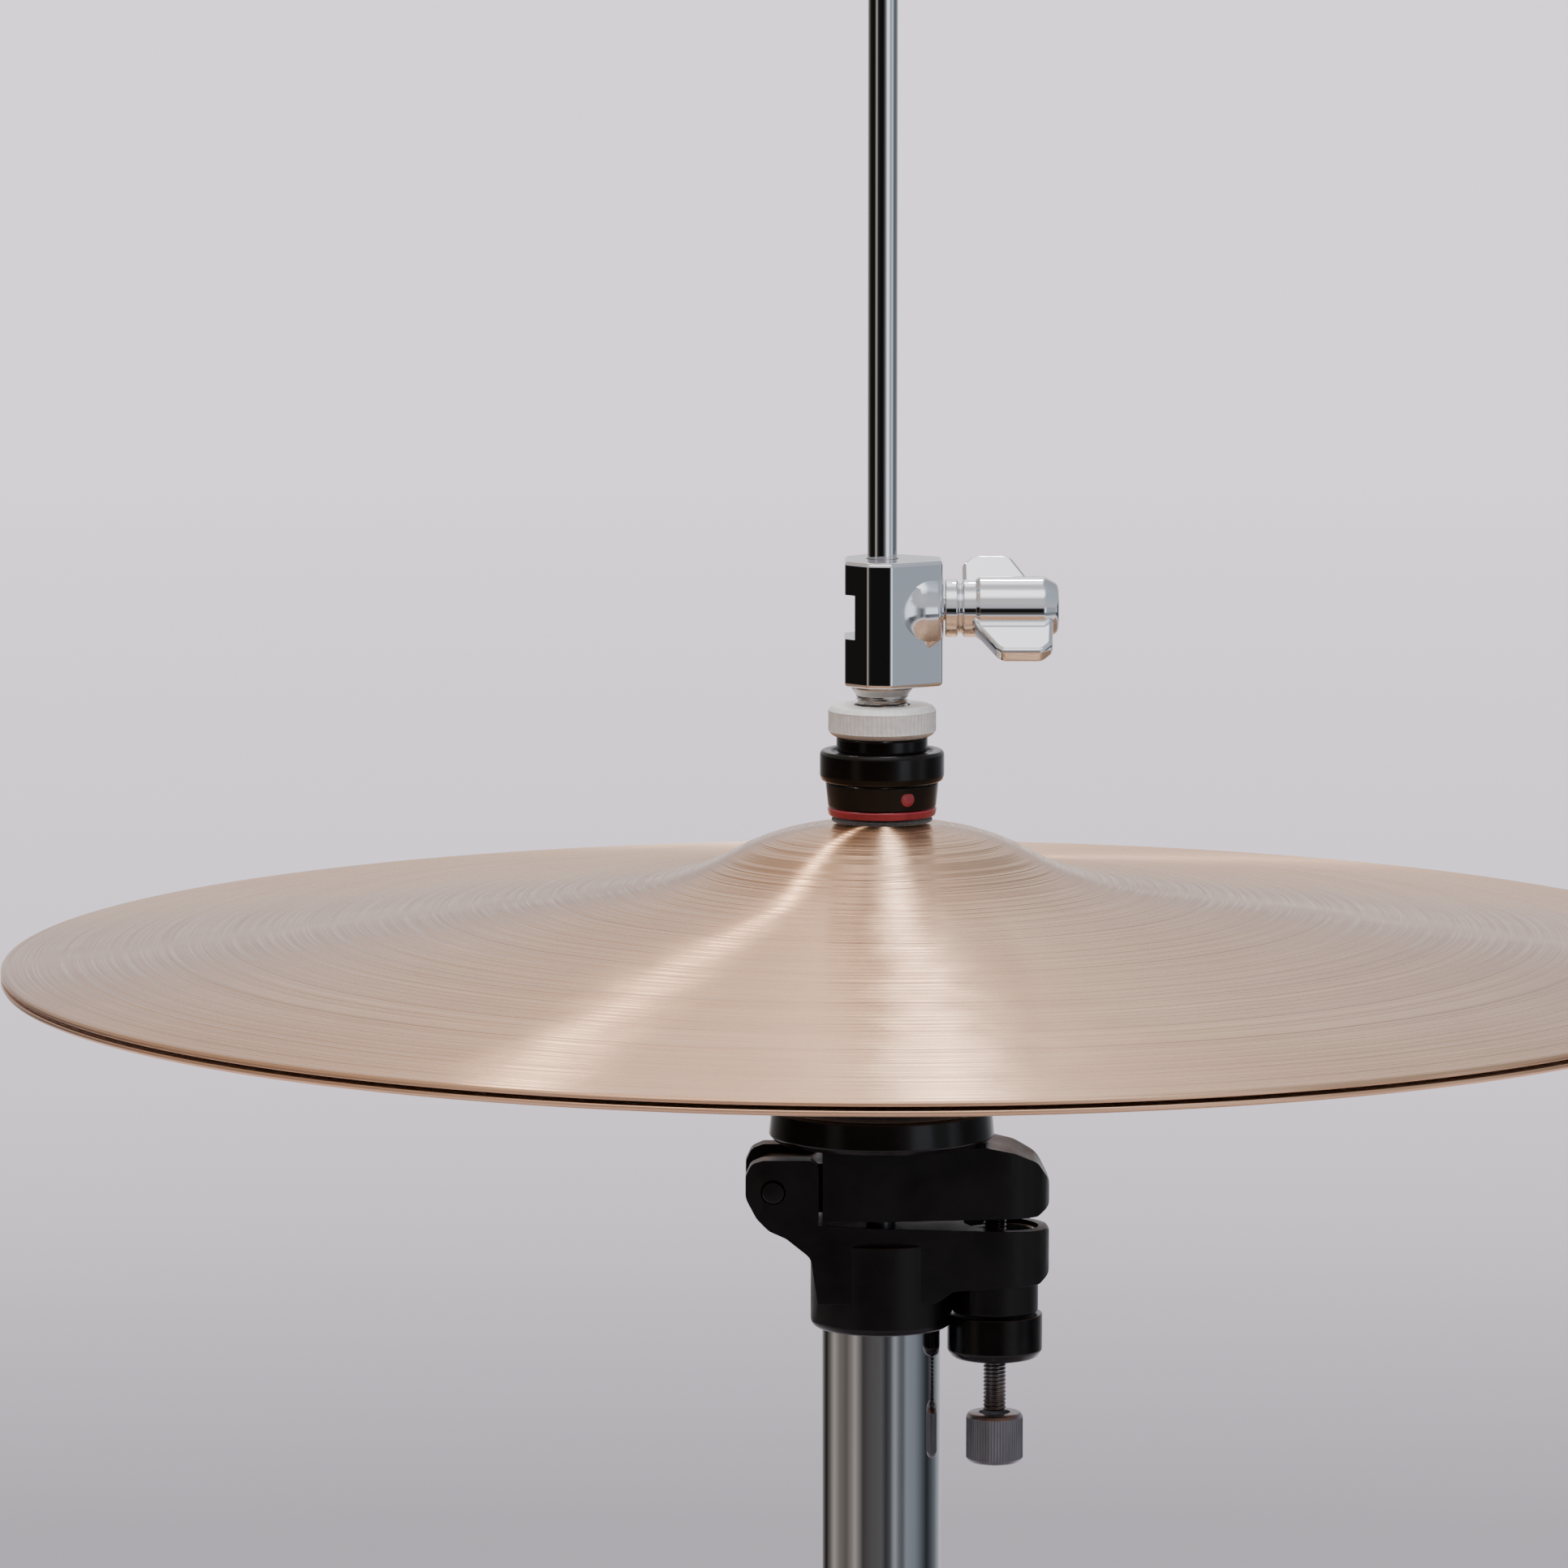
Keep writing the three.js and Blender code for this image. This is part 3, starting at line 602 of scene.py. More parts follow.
def lip(r):
    """How much thicker the edge is at this radius."""
    return LIP * min(1.0, max(0.0, (r - CYMBAL_R + 5) / 4))


def cymbal(node, up):
    line = spline(BELL + BOW + [(CYMBAL_R - 0.5, EDGE_Z)], 12)
    side = [(r, min(z, TOP)) for r, z in line]
    edge = [(CYMBAL_R - 0.22, -0.12), (CYMBAL_R - 0.02, -0.45), (CYMBAL_R, -0.55), (CYMBAL_R, -0.92),
            (CYMBAL_R - 0.12, -1.07)]
    under = [(r, max(z, EDGE_Z) - CYMBAL_THICK - lip(r)) for r, z in reversed(side[:-1])]
    obj = turned(side + edge + under, 256)
    for vertex in obj.data.vertices:
        x, y, z = vertex.co / MM
        z = min(z + dent(x, y, math.hypot(x, y)), TOP)
        height = RIM_Z + z if up else RIM_Z - 2 * CYMBAL_THICK - RIM_GAP - z
        vertex.co.z = height * MM
    if not up:
        obj.data.flip_normals()
    return piece(obj, node + "_bronze", node, BRONZE, node)


CYMBALS = [cymbal("top_cymbal", True), cymbal("bottom_cymbal", False)]


# ---- Clutch ----
def above(z):
    """A height given from the rim plane."""
    return RIM_Z + z


def pull_rod():
    low, high = heights("pull_rod")
    profile = [(0, low), (ROD_R, low), (ROD_R, high - 0.8, 0.2), (ROD_R - 0.8, high, 0.2), (0, high)]
    piece(lathe(profile, 0.3, 64), "rod_upper", "rod", CHROME, "pull_rod")


def clutch_body():
    low, high = heights("clutch_body")
    half = [(12.1, -4.2, 1.0), (1.6, -10.7, 1.4), (-3.1, -10.0, 2.4), (-7.6, -5.6, 1.2)]
    plan = half + [(x, -y, r) for x, y, r in reversed(half)]
    body = softened(extruded(rounded(plan, 1, 5), low, high), 0.9, 4, 60)
    outside = [(0, 0), (9.6, 0), (9.55, 3.4), (8.8, 8.6, 6), (7.6, 11.6, 1.6), (6.2, 12.3, 0.4), (0, 12.3)]
    boss = lathe(outside, 0.4, 128, axis="X")
    body = joined(body, moved(boss, z=WING_Z))
    notch = block((-9, -5.6), (-12, 12), (above(65.6), above(74.5)))
    pocket = pin(5.7, above(67), above(75.4))
    bolt_way = pin(2.9, 0, 14, "X", at=(0, 0, WING_Z))
    body = cut(body, notch, pocket, pin(BORE_R, low - 2, high + 2), bolt_way)
    piece(softened(body, 0.25, 3, 40), "clutch_block", "clutch", CHROME, "clutch_body")


def clutch_eye_bolt():
    low, high = heights("clutch_eye_bolt")
    eye = lathe(rod_profile(5.3, low, high), 0.5)
    shank = turned([(0, 4)] + threaded_side(2.5, 4, 31.6, 0.16) + [(2.1, 32), (0, 32)], 48,
                   thread(0.8, 0.25, 14, 31.6), "X")
    bolt = cut(joined(eye, moved(shank, z=WING_Z)), pin(BORE_R, low - 1, high + 1))
    piece(bolt, "clutch_bolt", "clutch", STEEL, "clutch_eye_bolt")


def wing_nut():
    outside = [(0, 12.6), (5.8, 12.6), (5.8, 15.0), (5.0, 15.4), (5.0, 15.9), (5.8, 16.4), (5.8, 18.8),
               (6.4, 19.6), (6.4, 32.6, 1.5), (4.8, 35.5, 1.5), (0, 35.5)]
    nut = lathe(outside, 0.35, 96, axis="X")
    back = [(16.3, 4, 0), (16.3, 13.4, 2), (18.6, 16.4, 3), (26, 16.4, 2.5), (30.2, 7, 2), (31, 4, 0)]
    front = [(17.4, -4, 0), (18.6, -7.5, 2), (22.6, -15, 1.5), (24, -16.4, 1.5), (32, -16.4, 2),
             (34, -13.8, 2), (34.4, -4, 0)]
    lean = Matrix.Rotation(math.radians(30), 4, "X")
    wings = [moved(softened(extruded(rounded(side, 2, 6), -1.6, 1.6), 0.9, 4, 50), turn=lean)
             for side in (back, front)]
    nut = cut(joined(nut, *wings), pin(2.8, 12, 32.4, "X"))
    nut = softened(nut, 0.5, 3, 40)
    piece(moved(nut, z=WING_Z), "wing_nut", "clutch_wing_nut", CHROME, "clutch_wing_nut")


def clutch_sleeve():
    low, high = heights("clutch_sleeve")
    outer = [(BORE_R, low), (4.6, low)] + threaded_side(5.0, low + 0.4, above(44), 0.12)
    outer += threaded_side(5.3, above(44.3), above(53.6), 0.12)
    outer += [(5.3, above(53.8)), (6.25, above(55.1)), (6.1, high), (BORE_R, high)]
    sleeve = turned(outer, 72, thread(1.0, 0.45, low + 0.5, above(53.4), 4.7))
    piece(sleeve, "threaded_sleeve", "clutch", POLISHED, "clutch_sleeve")


def clutch_nuts():
    low, high = heights("clutch_lock_nut")
    profile = [(5.7, low), (9.7, low), (10.3, low + 0.35), (10.9, low + 1.1), (10.9, low + 1.3),
               (10.9, high - 1.3), (10.9, high - 1.1), (10.3, high - 0.35), (9.7, high), (5.7, high)]
    nut = knurled(profile, 72, 0.16, low + 1.2, high - 1.2, 9, 6)
    piece(nut, "lock_nut", "clutch_lock_nut", FROSTED, "clutch_lock_nut")
    low, high = heights("clutch_bottom_nut")
    profile = [(5.3, low), (8.8, low), (9.7, low + 0.8), (10, low + 1.1), (10, high - 1.0),
               (9.7, high - 0.8), (9.2, high), (5.3, high)]
    nut = knurled(profile, 48, 0.5, low + 0.9, high - 0.9, 9, 6)
    piece(nut, "bottom_nut", "clutch_bottom_nut", STEEL, "clutch_bottom_nut")


def clutch_rings():
    low, high = heights("clutch_spacer")
    piece(lathe(ring_profile(5.7, 9.25, low, high), 0.3), "spacer_ring", "clutch", PLASTIC, "clutch_spacer")
    low, high = heights("clutch_collar")
    cup = [(5.7, low), (12.2, low, 0.7), (12.6, low + 1.2, 1.0), (12.6, high - 0.6, 1.2), (12.2, high, 0.8),
           (10.5, high, 0.8), (9.9, high - 0.6, 0.3), (5.7, high - 0.6)]
    piece(lathe(cup, 0.4, 128), "collar_cup", "clutch", PLASTIC, "clutch_collar")
    low, high = heights("clutch_housing")
    shell = [(9.1, low), (10.95, low, 0.15), (11.45, high, 0.3), (5.7, high), (5.7, high - 1.8),
             (9.1, high - 1.8)]
    piece(lathe(shell, 0.15, 128), "felt_housing", "clutch", PLASTIC, "clutch_housing")
    low, high = heights("clutch_index_ring")
    band = [(9.1, low), (10.8, low, 0.35), (11.1, high, 0.3), (9.1, high)]
    piece(lathe(band, 0.3, 128), "index_band", "clutch", RED, "clutch_index_ring")
    dot = lathe([(0, -0.6), (1.5, -0.6), (1.5, 0.1, 0.2), (0.9, 0.22), (0, 0.24)], 0.1, 48, axis="X")
    moved(moved(dot, x=11.15), turn=Matrix.Rotation(math.radians(-63), 4, "Z"))
    piece(moved(dot, z=above(33.6)), "index_dot", "clutch", RED)


def fluffed(obj, amount):
    """Gives pressed felt its uneven surface."""
    for vertex in obj.data.vertices:
        place = vertex.co / MM
        vertex.co += noise.noise_vector(place * 1.7) * amount * MM
    return obj


def felt(name, body, node, bore, r, radius, amount=0.08, step=()):
    """A felt washer; step holds the points where its side steps in."""
    low, high = heights(node)
    low, high = low + 0.1, high - 0.1
    profile = [(bore, low), (r, low), *[(x, low + z) for x, z in step], (step[-1][0] if step else r, high),
               (bore, high)]
    obj = fluffed(turned(rounded(profile, radius, 6), 160), amount)
    piece(obj, name, body, FELT, node)


pull_rod()
clutch_body()
clutch_eye_bolt()
wing_nut()
clutch_sleeve()
clutch_nuts()
clutch_rings()
felt("felt_above", "clutch_felts", "clutch_upper_felt", 5.8, 10.2, 0.25, 0.04, [(10.2, 0.6), (8.2, 0.6)])
felt("felt_below", "clutch_felts", "clutch_lower_felt", 5.8, 10.9, 1.2)
felt("felt_seat", "seat", "seat_felt", 6.2, 19.8, 1.2)


# ---- Bottom cymbal's seat and tilter ----
def arc(cx, cy, r, start, end, steps=16):
    return [(cx + r * math.cos(math.radians(start + (end - start) * k / steps)),
             cy + r * math.sin(math.radians(start + (end - start) * k / steps))) for k in range(steps + 1)]


def tilter_plan(z0, z1):
    """The outline that the seat plate and the tilter share, seen from above."""
    left = [(-28, 11), (-24, 12.7)]
    outline = arc(24.1, 0, 10, -90, 90) + [(0, 13)] + left[::-1] + [(x, -y) for x, y in left] + [(0, -13)]
    return extruded(outline, z0, z1)


def pivot_bore():
    return pin(PIVOT_BORE_R, -20, 20, "Y", at=(PIVOT.x, 0, PIVOT.z))


def seat_plate():
    top, under = above(-37.3), above(-52)
    side = [(-12, top, 0), (21, top), (27, top - 1.3, 6), (31.6, top - 3.6, 4), (34.1, top - 8, 4),
            (34.1, under + 1.6, 1.6), (31.6, under, 1.2), (-12, under, 0)]
    plate = common(extruded(rounded(side, 1, 5), -15, 15, "XZ"), tilter_plan(above(-60), above(-30)))
    knuckle = joined(pin(5, -7.2, 7.2, "Y", at=(PIVOT.x, 0, PIVOT.z)),
                     block((PIVOT.x, -10), (-7.2, 7.2), (PIVOT.z - 5, PIVOT.z + 5)))
    plate = cut(joined(plate, knuckle), pivot_bore(), pin(ROD_WAY_R, above(-60), above(-30)))
    piece(softened(plate, 0.9, 4), "seat_casting", "seat", PAINT, "seat_plate")


def tilter_body():
    side = [(-27.6, -43, 2), (-26.4, -40.4, 2), (-24, -39.5, 2), (-14.5, -39.5, 1), (-12.8, -41, 1),
            (-12.8, -52.8, 0), (34.1, -55, 1), (34.1, -64.4, 1.6), (32, -66, 1), (14.5, -66.6, 3),
            (11, -69, 3), (-13, -69, 0), (-14.4, -59.5, 3), (-19.4, -55.5, 4), (-22.8, -54, 3),
            (-25.4, -51.5, 4), (-27.6, -47.5, 4)]
    side = [(x, above(z), r) for x, z, r in side]
    casting = common(extruded(rounded(side, 1, 5), -15, 15, "XZ"), tilter_plan(above(-71), above(-38)))
    casting = softened(casting, 0.8, 3)
    low = heights("tilter_body")[0]
    sleeve = lathe([(0, low), (14.4, low, 1.6), (14.4, above(-57), 0.5), (0, above(-57))], 0.5, 128)
    boss = moved(lathe(rod_profile(8.8, above(-72.6), above(-60)), 0.6), x=SCREW_X)
    casting = joined(casting, sleeve, boss)
    tube_room = pin(TUBE_R + GAP, low - 3, above(-58))
    rod_way = pin(ROD_WAY_R, above(-60), above(-50))
    knuckle_room = block((-30, -12.7), (-7.6, 7.6), (above(-51.6), above(-30)))
    wheel_room = moved(pin(10, low - 3, above(-72.5)), x=SCREW_X)
    screw_way = moved(pin(2.75, low - 3, above(-50)), x=SCREW_X)
    washer_seat = moved(pin(7.6, above(-57.2), above(-50)), x=SCREW_X + 1.2)
    casting = cut(casting, tube_room, rod_way, knuckle_room, wheel_room, screw_way, washer_seat,
                  pivot_bore())
    piece(softened(casting, 0.5, 3, 40), "tilter_casting", "upper_column", PAINT, "tilter_body")
    washer = lathe(ring_profile(6.4, 7.4, above(-57.1), above(-55.6)), 0.3)
    piece(moved(washer, x=SCREW_X + 1.2), "tilter_washer", "upper_column", STEEL)


def seat_stack():
    low, high = heights("seat_cup")
    cup = [(6, low), (21.8, low, 0.5), (22.9, low + 1.1, 0.6), (22.35, high, 0.5), (20.5, high, 0.5),
           (20.5, low + 1.3), (6, low + 1.3)]
    piece(lathe(cup, 0.3, 128), "cup_seat", "seat", PLASTIC, "seat_cup")
    low, high = heights("seat_sleeve")
    piece(lathe(ring_profile(ROD_WAY_R, 5.7, low, high), 0.4), "sleeve_seat", "seat", NYLON, "seat_sleeve")


def tilter_screw():
    low, high = heights("tilter_screw")
    stem = [(0, low)] + threaded_side(2.35, low + 0.2, high - 0.5, 0.1) + [(1.6, high), (0, high)]
    stem = turned(stem, 48, thread(0.8, 0.3, low + 0.2, high - 0.6))
    piece(moved(stem, x=SCREW_X), "screw_stem", "tilter_screw", DARK_STEEL, "tilter_screw")
    low, high = heights("tilter_lock_nut")
    wheel = [(2.75, low), (8.6, low, 1.4), (9.7, low + 1.6, 1.2), (9.7, high, 0.3), (2.75, high)]
    wheel = moved(lathe(wheel, 0.4, 128), x=SCREW_X)
    piece(wheel, "lock_wheel", "tilter_lock_nut", PLASTIC, "tilter_lock_nut")
    low, high = heights("tilter_knob")
    profile = [(0, low), (4.9, low), (5.5, low + 0.4), (5.8, low + 0.9), (5.8, low + 1.0),
               (5.8, high - 1.0), (5.8, high - 0.9), (5.4, high - 0.2), (5.0, high), (3.2, high),
               (3.0, high - 1.2), (0, high - 1.2)]
    knob = knurled(profile, 60, 0.12, low + 0.95, high - 0.95)
    hexagon = turned(rod_profile(2.4, low - 1, low + 3), 6)
    piece(moved(cut(knob, hexagon), x=SCREW_X), "screw_head", "tilter_knob", BLUED, "tilter_knob")


def pivot_pin():
    low, high = mm_box("tilter_pivot_pin")
    profile = [(0, low.y), (2.2, low.y), (2.2, high.y), (0, high.y)]
    shaft = moved(lathe(profile, 0.35, 48, axis="Y"), PIVOT.x, 0, PIVOT.z)
    piece(shaft, "pin_tilter", "upper_column", PAINT, "tilter_pivot_pin")


def upper_tube():
    low, high = heights("upper_tube")
    piece(lathe(ring_profile(10.1, TUBE_R, low, high), 0.4, 160), "tube_upper", "upper_column", CHROME,
          "upper_tube")


seat_plate()
tilter_body()
seat_stack()
tilter_screw()
pivot_pin()
upper_tube()


# ---- Tubes, rods and height clamp ----
def ring_piece(node, body, look, bore, sides=128):
    ring = lathe(ring_profile(bore, radius_of(node), *heights(node)), 0.5, sides)
    piece(ring, node + "_turned", body, look, node)


def height_bushing():
    low, high = heights("height_bushing")
    profile = [(TUBE_R + GAP, low), (13, low), (13, high - 2.3), (14.8, high - 2.3), (14.8, high),
               (TUBE_R + GAP, high)]
    piece(lathe(profile, 0.3), "bushing", "stand", NYLON, "height_bushing")


def height_clamp():
    low, high = heights("height_clamp")
    far = mm_box("height_clamp")[1].x
    ears = softened(block((14, far), (-9, 9), (low + 4, high - 4)), 2.5, 5)
    clamp = joined(softened(pin(20, low, high, sides=128), 1.2, 4), ears)
    bolt = middle("height_wing_bolt")
    slit = block((13, 50), (-1.5, 1.5), (low - 1, high + 1))
    bolt_bore = pin(CLAMP_BOLT_BORE_R, -20, 20, "Y", at=(bolt.x, 0, (low + high) / 2))
    clamp = cut(clamp, slit, pin(BASE_R + GAP, low - 1, high + 1), bolt_bore)
    piece(softened(clamp, 0.6, 3, 40), "clamp", "stand", PAINT, "height_clamp")


def memory_lock():
    low, high = heights("memory_lock")
    far = mm_box("memory_lock")[1].x
    ear = softened(block((12, far), (-7, 7), (low, high)), 1.6, 4)
    ring = joined(softened(pin(18, low, high, sides=128), 0.8, 3), ear)
    slit = block((11, 40), (-1.2, 1.2), (low - 1, high + 1))
    ring = cut(ring, slit, pin(TUBE_R + GAP, low - 1, high + 1))
    piece(softened(ring, 0.4, 3, 40), "lock_ring", "stand", STEEL, "memory_lock")
    screw = lathe([(0, -14), (3.4, -14), (3.4, -8.5), (1.9, -8.2), (1.9, 9.6), (0, 9.6)], 0.3, 48, axis="Y")
    key = softened(block((-3.6, 3.6), (-19, -13.2), (-1.3, 1.3)), 0.5)
    piece(moved(joined(screw, key), x=far - 5, z=(low + high) / 2), "lock_screw", "stand", CHROME)


def wing_bolt(node, holder, x):
    """A wing bolt along Y, with its head towards -Y, at the middle of its holder's height."""
    low, high = mm_box(node)
    head, tip = low.y, high.y
    profile = rounded([(0, head), (4.4, head, 0.8), (6, head + 2.4, 1), (6, head + 13.4),
                       (5, head + 15, 0.6), (2.9, head + 15)], 0.4, closed=False)
    profile += threaded_side(2.9, head + 15, tip - 0.6, 0.2) + [(2.3, tip), (0, tip)]
    bolt = turned(profile, 72, thread(1.25, 0.4, head + 15.2, tip - 0.6), "Y")
    side = [(-5, -3, 0), (-6.5, 3.5, 1), (-13, 3.6, 3), (-17, 8.6, 2), (-15.6, 13, 2.2), (-8, 9, 4),
            (-5, 5, 1)]
    wings = []
    for sign in (-1, 1):
        outline = rounded([(x * sign, z, r) for x, z, r in side], 1, 5)
        wings.append(softened(extruded(outline, head + 1.2, head + 5.0, "XZ"), 1.1, 4, 50))
    bolt = softened(joined(bolt, *wings), 0.5, 2, 45)
    piece(moved(bolt, x=x, z=sum(heights(holder)) / 2), node + "_turned", node, CHROME, node)


def rods():
    low, high = heights("lower_rod")
    ends = [(0, low)] + threaded_side(ROD_R, low + 0.4, low + 12, 0.2)
    ends += threaded_side(ROD_R, high - 12, high - 0.4, 0.2) + [(0, high)]
    rod = turned(ends, 48, thread(1.0, 0.4, low, low + 12))
    piece(rod, "rod_lower", "rod", STEEL, "lower_rod")
    low, high = heights("rod_coupler")
    coupler = cut(softened(pin(5.8, low, high, sides=6), 0.5, 3), pin(BORE_R, low - 1, high + 1))
    piece(coupler, "coupler", "rod", STEEL, "rod_coupler")
    ring_piece("spring_collar", "rod", STEEL, BORE_R)


ring_piece("base_tube", "stand", CHROME, 13.3, 160)
height_bushing()
height_clamp()
memory_lock()
wing_bolt("height_wing_bolt", "height_clamp", middle("height_wing_bolt").x)
wing_bolt("leg_wing_bolt", "leg_collar", 0)
rods()


# ---- Tripod ----
def tripod_ring(node, body, lug_half, boss):
    """A ring on the base tube with a lug for each leg, and a boss if a bolt goes into it."""
    low, high = heights(node)
    z = (low + high) / 2
    ring = softened(pin(21, low, high, sides=128), 1.2, 4)
    lugs = []
    holes = [pin(BASE_R + 0.4, low - 1, high + 1, sides=128)]
    for n in (1, 2, 3):
        pivot = HINGES[f"leg_{n}_hinge"]
        turn = Matrix.Rotation(math.atan2(pivot.y, pivot.x), 4, "Z")
        reach = math.hypot(pivot.x, pivot.y)
        half = [(15, -7, 0), (reach, -7, 6), (reach + 7, -7, 6)]
        side = half + [(x, -y, r) for x, y, r in reversed(half)]
        lug = softened(extruded(rounded(side, 1, 6), -lug_half, lug_half, "XZ"), 0.8, 3, 50)
        lugs.append(moved(lug, z=z))
        lugs[-1].data.transform(turn)
        hole = pin(HINGE_BORE_R, -20, 20, "Y", at=(reach, 0, z))
        hole.data.transform(turn)
        holes.append(hole)
    if boss:
        lugs.append(pin(7.5, -31, -15, "Y", at=(0, 0, z)))
        holes.append(pin(CLAMP_BOLT_BORE_R, -40, -10, "Y", at=(0, 0, z)))
    ring = cut(joined(ring, *lugs), *holes)
    piece(softened(ring, 0.5, 3, 40), node + "_casting", body, PAINT, node)


def strip_pair(inner, z0, z1):
    """Two flat bars with round ends, standing along Z on both sides of the middle."""
    outline = [(z, x) for x, z in slot_outline(z0, z1, 6.5)]
    return [softened(extruded(outline, side * inner - 1.25, side * inner + 1.25, "XZ"), 0.7, 4, 50)
            for side in (-1, 1)]


def rivet(half, radius, z):
    """A rivet along Y with a head on both ends."""
    head = 1.4
    profile = [(0, -half), (radius * 0.7, -half, 0.5), (radius, -half + head, 0.4), (2.4, -half + head),
               (2.4, half - head), (radius, half - head, 0.4), (radius * 0.7, half, 0.5), (0, half)]
    return moved(lathe(profile, 0.4, 40, axis="Y"), z=z)


def blended(parts):
    """The pieces' meshes in one object, not cut against each other."""
    bm = bmesh.new()
    for part in parts:
        bm.from_mesh(part.data)
        bpy.data.objects.remove(part)
    return from_bmesh(bm)


def tripod_leg(n):
    hinge, brace_hinge = HINGES[f"leg_{n}_hinge"], HINGES[f"brace_{n}_hinge"]
    reach = math.hypot(hinge.x, hinge.y)
    lean = math.atan2(FOOT_REACH - reach, hinge.z - FOOT_PIN_Z)
    brace_length = (hinge.z - brace_hinge.z) / 2 / math.cos(lean)
    length = (hinge.z - FOOT_PIN_Z) / math.cos(lean)
    azimuth = Matrix.Rotation(math.atan2(hinge.y, hinge.x), 4, "Z")
    down = azimuth @ Matrix.Translation(Vector((reach, 0, hinge.z)) * MM) @ Matrix.Rotation(-lean, 4, "Y")
    up = azimuth @ Matrix.Translation(Vector((reach, 0, brace_hinge.z)) * MM) @ Matrix.Rotation(lean, 4, "Y")

    tongue = softened(block((-6.5, 6.5), (-6, 6), (-(length - 4), -(length - 34))), 1, 3)
    filler = softened(block((-6.5, 6.5), (-10, 10), (-(length - 30), -(length - 62))), 1.6, 4)
    bars = strip_pair(10.55, -(length - 40), 0)
    rivets = [rivet(13, 4.6, z) for z in (0, -(length - 36), -(length - 56))]
    leg = blended([*bars, filler, tongue, *rivets, rivet(13, 4.0, -brace_length)])
    leg.data.transform(down)
    piece(leg, f"tripod_leg_{n}", f"leg_{n}", CHROME, f"leg_{n}")

    spacer = pin(4, -8, 8, "Y", 40, (0, 0, brace_length))
    brace = blended([*strip_pair(7.55, 0, brace_length), rivet(9.8, 4.2, 0), spacer])
    brace.data.transform(up)
    piece(brace, f"tripod_brace_{n}", f"brace_{n}", CHROME, f"brace_{n}")

    ribs = []
    for k in range(5):
        z = -(length - 14 + 5.5 * k)
        ribs += [(15, z + 1.7, 0.4), (15, z - 1.3, 0.4), (14.2, z - 1.8, 0.3), (14.2, z - 3.2, 0.3)]
    boot = lathe([(0, -(length - 25)), (11.5, -(length - 25), 1.5), (14.6, -(length - 21), 1.5)] + ribs
                 + [(15, -(length + 24)), (0, -(length + 24))], 0.4, 96)
    boot.data.transform(down)
    boot = cut(boot, block((-400, 400), (-400, 400), (-80, 0)))
    piece(softened(boot, 0.5, 2, 50), f"tripod_foot_{n}", f"leg_{n}", RUBBER, f"foot_{n}")


tripod_ring("leg_collar", "leg_collar", 9, True)
tripod_ring("leg_bracket", "stand", 6, False)
for number in (1, 2, 3):
    tripod_leg(number)


# ---- Frame and pedal ----
def swept(points, radius, sides=24):
    """A round bar along a line of (x, y, z) points."""
    curve = bpy.data.curves.new("work", "CURVE")
    curve.dimensions = "3D"
    curve.bevel_depth = radius * MM
    curve.bevel_resolution = sides // 4
    curve.use_fill_caps = True
    line = curve.splines.new("POLY")
    line.points.add(len(points) - 1)
    for place, point in zip(line.points, points):
        place.co = (*(Vector(point) * MM), 1)
    obj = placed("work", curve)
    mesh = bpy.data.meshes.new_from_object(obj.evaluated_get(bpy.context.evaluated_depsgraph_get()))
    bpy.data.objects.remove(obj)
    return placed("work", mesh)


def return_spring():
    """A coil whose first and last turns lie close together."""
    low, high = heights("return_spring")
    turns, wire, coil = 8, 1.1, 8.5
    steps = 32 * turns
    points = []
    for k in range(steps + 1):
        t = k / steps
        a = 2 * math.pi * turns * t
        rise = min(max((t - 1 / turns) / (1 - 2 / turns), 0), 1)
        close = min(t, 1 / turns) * turns + max(t - 1 + 1 / turns, 0) * turns
        z = low + wire + 2 * wire * close + rise * (high - low - 6 * wire)
        points.append((coil * math.cos(a), coil * math.sin(a), z))
    piece(swept(points, wire), "spring", "stand", DARK_STEEL, "return_spring")


def spring_adjuster():
    low, high = heights("spring_adjuster")
    dial = low + 12.5
    profile = [(3.8, low), (15.6, low), (16.6, low + 0.8), (17, low + 1.2), (17, dial - 1.2),
               (16.6, dial - 0.8), (15.6, dial), (10, dial), (10, high - 0.5), (9.5, high), (3.8, high)]
    adjuster = knurled(profile, 32, 0.9, low + 0.9, dial - 0.9, 12, 8)
    piece(adjuster, "adjuster", "spring_adjuster", PLASTIC, "spring_adjuster")


def frame_yoke():
    low, high = heights("frame_yoke")
    reach = mm_box("frame_yoke")[1].x
    floor_z = heights("base_tube")[0] - GAP
    arm = softened(block((-reach, reach), (-9, 9), (low + 5, high - 4)), 1.6, 4)
    yoke = joined(softened(pin(22, low, high, sides=128), 1.5, 4), arm)
    yoke = cut(yoke, pin(BASE_R + GAP, floor_z, high + 1, sides=128), pin(10.3, low - 1, high))
    piece(softened(yoke, 0.6, 3, 40), "yoke", "stand", PAINT, "frame_yoke")


def upright(node):
    low, high = mm_box(node)
    outer, sign = (high.x, 1) if low.x > 0 else (low.x, -1)
    side = [(-14, 16.3, 1), (14, 16.3, 1), (11, 60, 30), (9, 120, 60), (10, 204, 3), (-10, 204, 3),
            (-9, 120, 60), (-11, 60, 30)]
    bar = softened(extruded(rounded(side, 1, 6), low.x, high.x, "YZ"), 1.3, 4, 50)
    window = rounded([(-5, 40), (5, 40), (3.6, 110), (-3.6, 110)], 3.4, 6)
    recess = extruded(window, *sorted((outer - 1.2 * sign, outer + sign)), "YZ")
    bar = softened(cut(bar, recess), 0.4, 2, 50)
    screws = [softened(pin(4.2, -0.8, 0.8, "X", 48), 0.4) for _ in range(2)]
    for screw, z in zip(screws, (184, 196)):
        moved(screw, outer - 0.6 * sign, 0, z)
    piece(bar, node + "_bar", "stand", PAINT, node)
    piece(blended(screws), node + "_screws", "stand", STEEL)


